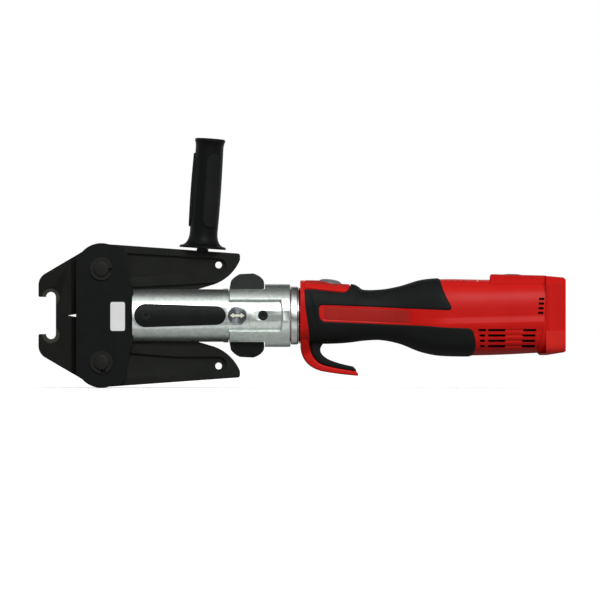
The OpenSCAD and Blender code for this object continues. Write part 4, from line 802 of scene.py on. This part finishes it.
# %% Nose ring
def nose_ring():
    """Profile of 15 points carried round the section: bore, inside, rear rim, outside and quarter-round shoulder."""
    bore_r, depth, round_r = 27.5, 3.4, 0.9
    angle = np.linspace(0, 360, 180, endpoint=False)
    back = bezel_x(skin_point(nose_x, angle)[:, 2])
    a = np.radians(angle)
    bore = np.stack([np.zeros_like(a), bore_r * np.cos(a), bore_r * np.sin(a)], -1)
    rows = [bore + [nose_x, 0, 0], bore + [nose_x + depth, 0, 0], skin_point(nose_x + depth, angle, 0.1),
            skin_point(back, angle, 0.1)]
    rows += [skin_point(back - step, angle, grip_t + out)
             for step, out in ((0, -0.2), (0.3, 0.05), (0.9, 0.1), (1.6, -0.15))]
    rows += [skin_point(nose_x + round_r - round_r * math.sin(b), angle, grip_t - 0.05 - round_r * (1 - math.cos(b)))
             for b in np.radians(np.linspace(0, 90, 7))]
    return np.stack(rows), grid_faces(len(rows), len(angle), True, True)


piece("nose_ring", nose_ring(), "drive", red_nylon, ["nose_bezel"], sharp=50)


# %% Thumb strap
def thumb_strap():
    """Grid over place and section angle; a rim stands along the lower and the rear edge, the field inside is lower."""
    start, corner = 266.0, 6.5
    u, v = np.linspace(0, 1, 70)[:, None], np.linspace(-1, 1, 121)[None, :]
    x = start + (strap_end_x - 0.1 - start) * u + 0 * v
    low_z = np.maximum(strap_z(x), strap_z(x) + corner * ramp(x, strap_end_x - corner, strap_end_x) ** 2)
    angle = 90 + (skin_angle(x, low_z) - 90) * v
    near = np.minimum((1 - np.abs(v)) * 22, (1 - u) * 48)
    field = ramp(near, 2.4, 3.4) * ramp(np.abs(v), 0.34, 0.44) * (1 - ramp(np.abs(v), 0.56, 0.64))
    out = 0.1 + (grip_t + 0.05) * rise(near, 1.0) - 0.7 * field
    return slab(skin_point(x, angle, out), skin_point(x, angle, -0.3))


strap = piece("thumb_strap", thumb_strap(), "drive", red_nylon, ["top_strap"])
carve(strap, [bar_cutter(thumb_at, thumb_axis, [(12.95, -12), (12.95, 20)])])


def paint_faces(made, material, wanted):
    """Gives the faces whose middle answers to wanted a second material: here painted shade on the strap and painted
    light on the dock.
    """
    made.data.materials.append(material)
    middle = np.empty(3 * len(made.data.polygons))
    made.data.polygons.foreach_get("center", middle)
    chosen = wanted(*(middle.reshape(-1, 3).T / MM)) & np.ones(len(made.data.polygons), bool)
    made.data.polygons.foreach_set("material_index", chosen.astype(np.int32))
    print("faces with", material.name, "on", made.name + ":", int(chosen.sum()))


# Painted shade: the faces of the strap's upper part round the thumb button take the darker textured red, as if the
# recess lay in shade.
paint_faces(strap, textured_red_and_painted_shade, lambda x, y, z: (z > strap_z(x) + 6.3) & (x > 268.5) & (x < strap_end_x - 2.6))

# %% [markdown]
# ## Thumb button
# The grey button is a dome in the strap. A dome is a profile turned round its own tilted axis; the profile starts at
# the skirt and rounds over to a low crown.

# %% Turned pieces
def turned(profile, base, axis, count=96):
    """Radius and height pairs carried round an axis that starts at base; the ends meet on the axis."""
    axis = np.array(axis, float) / np.linalg.norm(axis)
    side = np.array([1.0, 0, 0]) if abs(axis[0]) < 0.5 else np.array([0, 1.0, 0])
    side = side - axis * (side @ axis)
    side /= np.linalg.norm(side)
    other = np.cross(axis, side)
    a = np.radians(np.linspace(0, 360, count, endpoint=False))
    ring = np.cos(a)[:, None] * side + np.sin(a)[:, None] * other
    profile = np.array(profile, float)
    points = np.array(base) + profile[:, None, :1] * ring + profile[:, None, 1:] * axis
    return points, grid_faces(len(profile), count, round_cols=True)


over, dome_r = np.radians(np.linspace(0, 90, 26)), 12.6
dome = [[0, -4], [12.2, -4], [dome_r, -3.6]]
dome += np.stack([dome_r * np.cos(over) ** 0.75, -1.2 + 4.9 * np.sin(over) ** 0.9], -1)[:-1].tolist() + [[0, 3.7]]
piece("thumb_dome", turned(dome, thumb_at, thumb_axis), "thumb_button", grey_button, ["thumb_button"], sharp=60)


# %% [markdown]
# ## Finger hook
# Under the nose a red hook with a black cushion guards the forefinger. Both are a section carried along a curve: at
# each step the section spans from an outer to an inner line, and its corners are rounded by the superellipse again.

# %% Hook lines
def curve(p, q, s, count):
    """Parabola that leaves p towards q and arrives at s."""
    t = np.linspace(0, 1, count)[:, None]
    return np.array(p) * (1 - t) ** 2 + 2 * np.array(q) * t * (1 - t) + np.array(s) * t**2


def even(points, count):
    """The same line with evenly spaced points."""
    reach = np.concatenate([[0], np.cumsum(np.linalg.norm(np.diff(points, axis=0), axis=1))])
    t = np.linspace(0, reach[-1], count)
    return np.stack([np.interp(t, reach, points[:, c]) for c in (0, 1)], -1)


seam = np.concatenate([[[269.4, -14], [270.6, -20], [271.4, -27]], curve((271.7, -31), (273.0, -44), (282.6, -50.2), 9),
                       curve((286.6, -52), (301.6, -56), (321.4, -58.5), 7)])
under = np.concatenate([[[262.0, -14], [261.9, -20], [261.8, -27], [261.8, -33]],
                        curve((262, -35), (263.8, -50), (278.2, -56.6), 10),
                        curve((283.6, -58.4), (301.6, -62), (323.6, -63.5), 7)])
inside = np.concatenate([curve((287.6, -28.0), (279.2, -35), (285.6, -42), 9),
                         curve((290, -45.2), (297.6, -49.6), (317, -53.4), 7), [[320.0, -56.0]]])


def hook_bar(outer, inner, square, tip, widths):
    """Section between two lines: across them and across the tool it follows a superellipse; it shrinks at the tip."""
    outer, inner = even(outer, 90), even(inner, 90)
    left = np.linspace(1, 0, 90) * np.linalg.norm(np.diff(outer, axis=0), axis=1).sum()
    shrink = np.sqrt(1 - (1 - np.clip(left / tip, 0, 1)) ** 2)[:, None]
    a = np.radians(np.arange(0, 360, 5))[None, :]
    across, wide = signed_power(np.cos(a), 2 / square), signed_power(np.sin(a), 2 / square)
    middle, reach = (outer + inner) / 2, (outer - inner) / 2
    xz = middle[:, None, :] + reach[:, None, :] * (across * (0.3 + 0.7 * shrink))[..., None]
    half_width = np.interp(middle[:, 1], *widths)[:, None]
    y = half_width * wide * (0.6 + 0.4 * shrink)
    return tube(np.stack([xz[..., 0], y, xz[..., 1]], -1))


flare_z = [-60, -41.5, -40, -38, -35, -32, -29, -26, -23, -20, -14]
flare_y = [11.9, 11.9, 12.2, 13.1, 15.2, 17.4, 19.5, 21.4, 23.0, 24.5, 26.8]
piece("hook_band", hook_bar(under, seam, 6, 2.2, (flare_z, flare_y)), "drive", red_nylon, ["finger_hook"], sharp=60)
cushion = hook_bar(seam[2:] + [-0.3, -0.25], inside, 5, 3.0, ([-60, -20], [11.7, 11.7]))
piece("hook_cushion", cushion, "drive", grip_rubber, ["hook_pad"], sharp=60)

# %% [markdown]
# ## Rear cover and battery dock
# A raised red cover runs over the electronics and ends at the dock that takes the battery. The dock starts from its CAD
# shape: its sides are lowered a little above a ledge, and its edges are rounded. A lip with a slanting front edge grips
# the shells, and a smoked window sits in the cover.

# %% Cover, lip and window
cover_x, lip_end_x, ledge_z = 460.6, 523.4, -15.9


def roof_z(x):
    """Height of the cover's roof, which falls slowly to the rear."""
    return 43.4 - 0.026 * (x - cover_x)


def rear_cover():
    """Grid over place and section angle: a steep front that rounds over, then the roof."""
    front = cover_x + np.array([0, 0.1, 0.3, 0.6, 1.0, 1.5, 2.1, 2.8])
    x, v = np.concatenate([front, np.linspace(464, 519.3, 44)])[:, None], np.linspace(-1, 1, 61)[None, :]
    height = roof_z(x) - skin_value(x, 1)
    out = 0.15 + height * (0.45 + 0.55 * rise(x - cover_x, 2.4)) * (1 - np.abs(v) ** 2.6)
    return slab(skin_point(x, 90 + 33 * v, out), skin_point(x, 90 + 33 * v, 0.05))


def dock_lip():
    """Band round the shell ends: its front edge slants with the height, its section rounds down to the skin."""
    angle = np.linspace(90, 450, 240, endpoint=False)[None, :]
    z = skin_point(dock_x, angle)[..., 2]
    front = np.interp(z, [-42, -39, -20, -4.7, 15, 37], [510.2, 510.6, 514.6, 517.6, 519.4, 521.2])
    t = np.array([0, 0.03, 0.1, 0.22, 0.4, 0.7, 1.0])[:, None]
    x = front + (lip_end_x - front) * t
    out = 0.02 + 1.75 * rise(x - front, 1.6)
    outer = skin_point(np.minimum(x, dock_x), angle, out)
    inner = skin_point(np.minimum(x, dock_x), angle, -0.6)
    outer[..., 0], inner[..., 0] = x, x
    loops = np.concatenate([outer, inner[::-1]])
    return loops, grid_faces(len(loops), loops.shape[1], True, True)


piece("rear_cover", rear_cover(), "drive", red_matt, ["top_cover"])
piece("dock_lip", dock_lip(), "drive", red_nylon)
dock = merged_copy("battery_dock", red_matt)


def cheek_cutter(side):
    """Wedge that lowers the upper part of a dock side by 0.8 mm and leaves a ledge under it."""
    ring = np.array([[38.2, -14.6], [39.6, -16.2], [39.6, 60], [38.2, 60]])
    return tube(np.stack([np.stack([np.full(4, x), side * ring[:, 0], ring[:, 1]], -1) for x in (523.0, 560.0)]))


def score(copy, z):
    """Scores a level line round a copy, so that the faces above and below it can differ."""
    rework(copy.data, lambda build: bmesh.ops.bisect_plane(
        build, geom=build.verts[:] + build.edges[:] + build.faces[:], plane_co=(0, 0, z * MM), plane_no=(0, 0, 1)))


carve(dock, [cheek_cutter(-1), cheek_cutter(1)], crease)
dock.modifiers.clear()
score(dock, ledge_z)
# Painted light: below the ledge the dock's sides take a lighter red, as if they faced the lamp more.
paint_faces(dock, red_painted_lighter, lambda x, y, z: (z < ledge_z) & (np.abs(y) > 20))
round_edges(dock, 0.9, 3)


def window():
    """Low dome with an oval outline: the height falls from the middle like a superellipse."""
    middle, rings, count = 484.6, 12, 64
    r, a = np.linspace(0, 1, rings)[:, None], np.radians(np.linspace(0, 360, count, endpoint=False))[None, :]
    x, y = middle + 10.2 * r * np.cos(a), 7.5 * r * np.sin(a)
    top = np.stack([x, y, roof_z(x) + 1.0 * (1 - r**4) - 0.1], -1)
    low = top[-1:] - [0, 0, 1.5]
    rows = np.concatenate([top, low, low * [0, 0, 1] + [middle, 0, 0]])
    return rows, grid_faces(len(rows), count, round_cols=True)


piece("cover_window", window(), "drive", smoked_lens, sharp=50)
crown = [[0, -1], [1.25, -1], [1.25, 0.1], [1.1, 0.5], [0.7, 0.8], [0, 0.9]]
piece("status_light", turned(crown, (447.8, -18.0, 35.6), (0, -0.4, 0.92), 32), "drive", pale_lens, sharp=60)

# %% [markdown]
# ## Side handle
# The handle screws into the upper arm and leans back with the arm's edge. Its body is a turned profile: a thin broad
# flange, a flare, a slim grip that swells a little and a rolled end. Three soft oval pads stand on it.

# %% Handle body and pads
lean = math.radians(4)
handle_axis = np.array([math.sin(lean), 0, math.cos(lean)])
handle_foot = np.array([159.0, 0, 67.952]) + handle_axis * 2.4
handle_profile = np.concatenate([
    [[0, 40], [4.3, 40], [4.3, 0.3], [4.8, 0], [23.6, 0], [24.3, 0.4], [24.5, 1.0], [24.4, 1.7], [23.9, 2.3]],
    curve((23.0, 2.7), (16.4, 3.6), (14.9, 13), 14), [[14.55, 17]],
    curve((14.7, 22), (15.8, 58), (14.6, 103), 16), curve((14.6, 107), (14.9, 111), (16.0, 113), 8),
    [[15.9, 114.2], [15.3, 115.1], [14.0, 115.6], [8, 115.9], [0, 116]]])
piece("handle_body", turned(handle_profile, handle_foot, handle_axis), "upper_arm", handle_nylon, ["handle_grip"],
      sharp=45)


def palm_pad(turn_deg):
    """Oval field on the grip: the angle span narrows to a half circle at both ends and the edge falls in a round."""
    middle, half, end_r = 61, 39, 10
    u, v = np.linspace(-1, 1, 81)[:, None], np.linspace(-1, 1, 33)[None, :]
    height = middle + half * u
    past = np.clip(np.abs(u) * half - (half - end_r), 0, None) / (end_r + 0.01)
    narrow = np.sqrt(np.clip(1 - past ** 2, 1e-4, 1))
    angle = np.radians(turn_deg + 30 * v * narrow)
    edge = np.minimum((1 - np.abs(v)) * narrow * 8.2, (1 - np.abs(u)) * half)
    base = 15.45 - 0.0004 * (height - 58) ** 2
    radius = base + 1.45 * rise(edge, 1.3)
    side, other = np.array([math.cos(lean), 0, -math.sin(lean)]), np.array([0.0, 1.0, 0])
    ring = np.cos(angle)[..., None] * side + np.sin(angle)[..., None] * other
    lift = (height + 0 * v)[..., None] * handle_axis
    return slab(handle_foot + radius[..., None] * ring + lift, handle_foot + (base - 1.5)[..., None] * ring + lift)


pads = [palm_pad(turn_deg) for turn_deg in (-68, 52, 172)]
piece("handle_pads_soft", joined(pads), "upper_arm", handle_soft, ["handle_pads"], sharp=60)

# %% [markdown]
# ## Lock button and bare plate
# The round lock button in the barrel is spun steel with a pale double arrow, and the bright fans on its face are a
# painted highlight. The small plate on the front side plate has no print here. Both are outlines carried over a small
# depth with a rounded edge.

# %% Button, arrow and plate
lock_x = 195.6


def painted_spun_highlight(material, centre_x, turn_deg, dark, light):
    """Painted highlight: two bright fans across a spun face, where the colour follows the cosine of twice the angle
    round the button's axis.
    """
    tree = material.node_tree
    place = add(tree, "TexCoord", {}).outputs["Object"]
    shift = add(tree, "VectorMath", {0: place, 1: (-centre_x * MM, 0, 0)})
    split = add(tree, "SeparateXYZ", {0: shift.outputs["Vector"]})
    around = add(tree, "Math", {0: split.outputs["Z"], 1: split.outputs["X"]}, operation="ARCTAN2")
    doubled = {0: around.outputs[0], 1: 2.0, 2: -2 * math.radians(turn_deg)}
    wave = add(tree, "Math", {0: add(tree, "Math", doubled, operation="MULTIPLY_ADD").outputs[0]}, operation="COSINE")
    fans = mix(tree, wave.outputs[0], (*dark, 1), (*light, 1))
    fill(tree, tree.nodes["Principled BSDF"], {"Base Color": fans})


# Painted highlight: bright fans at 78 degrees and opposite, dark between, on the button's face.
painted_spun_highlight(button_steel, lock_x, 78, (0.10, 0.11, 0.12), (0.36, 0.38, 0.40))
button_profile = [[0, 5], [9.8, 5], [9.8, 0.5], [9.65, 0.15], [9.3, 0], [8.4, 0], [8.2, 0.12], [0, 0.12]]
piece("lock_disc", turned(button_profile, (lock_x, -28.35, 0), (0, 1, 0)), "lock_button", button_steel, ["lock_button"],
      sharp=30)


def flat_badge(outline, y_front, depth, edge):
    """Outline in x and z carried back over depth; the front edge is drawn in by edge for a small bevel."""
    outline = np.array(outline, float)
    centre = outline.mean(0)
    small = centre + (outline - centre) * (1 - edge / np.abs(outline - centre).max())
    return spanned((small, y_front), (outline, y_front + edge), (outline, y_front + depth))


arrow = [[-7.6, 0], [-4.0, -2.6], [-3.4, -1.2], [3.4, -1.2], [4.0, -2.6], [7.6, 0], [4.0, 2.6], [3.4, 1.2], [-3.4, 1.2],
         [-4.0, 2.6]]
piece("lock_arrow", flat_badge(np.array(arrow) + [lock_x, 0], -28.55, 0.5, 0.1), "lock_button", arrow_pale)
a = np.radians(np.arange(0, 360, 5))
plate_line = np.stack([70.1 + 7.7 * signed_power(np.cos(a), 0.22), -1.0 + 15.2 * signed_power(np.sin(a), 0.14)], -1)
piece("bare_plate", flat_badge(plate_line, -19.8, 0.4, 0.12), "head", bare_white, ["blank_label"])

# %% [markdown]
# ## Contact faces of the hooks
# The hooks close on each other in front of the plates. The CAD model keeps a fine gap between the moving arms, so a
# thin facing on the lower hook fills it almost to the upper hook, and no light shows through.

# %% Contact pad
pad_line = [[5.6, -0.6], [18.2, -0.6], [18.2, 0.07], [5.6, 0.07]]
piece("contact_pad", spanned((pad_line, -18.4), (pad_line, 18.4)), "lower_arm", arm_black)

# %% [markdown]
# ## Close the lesson
# At the end the view layer is brought up to date.

# %% Update the view layer
bpy.context.view_layer.update()
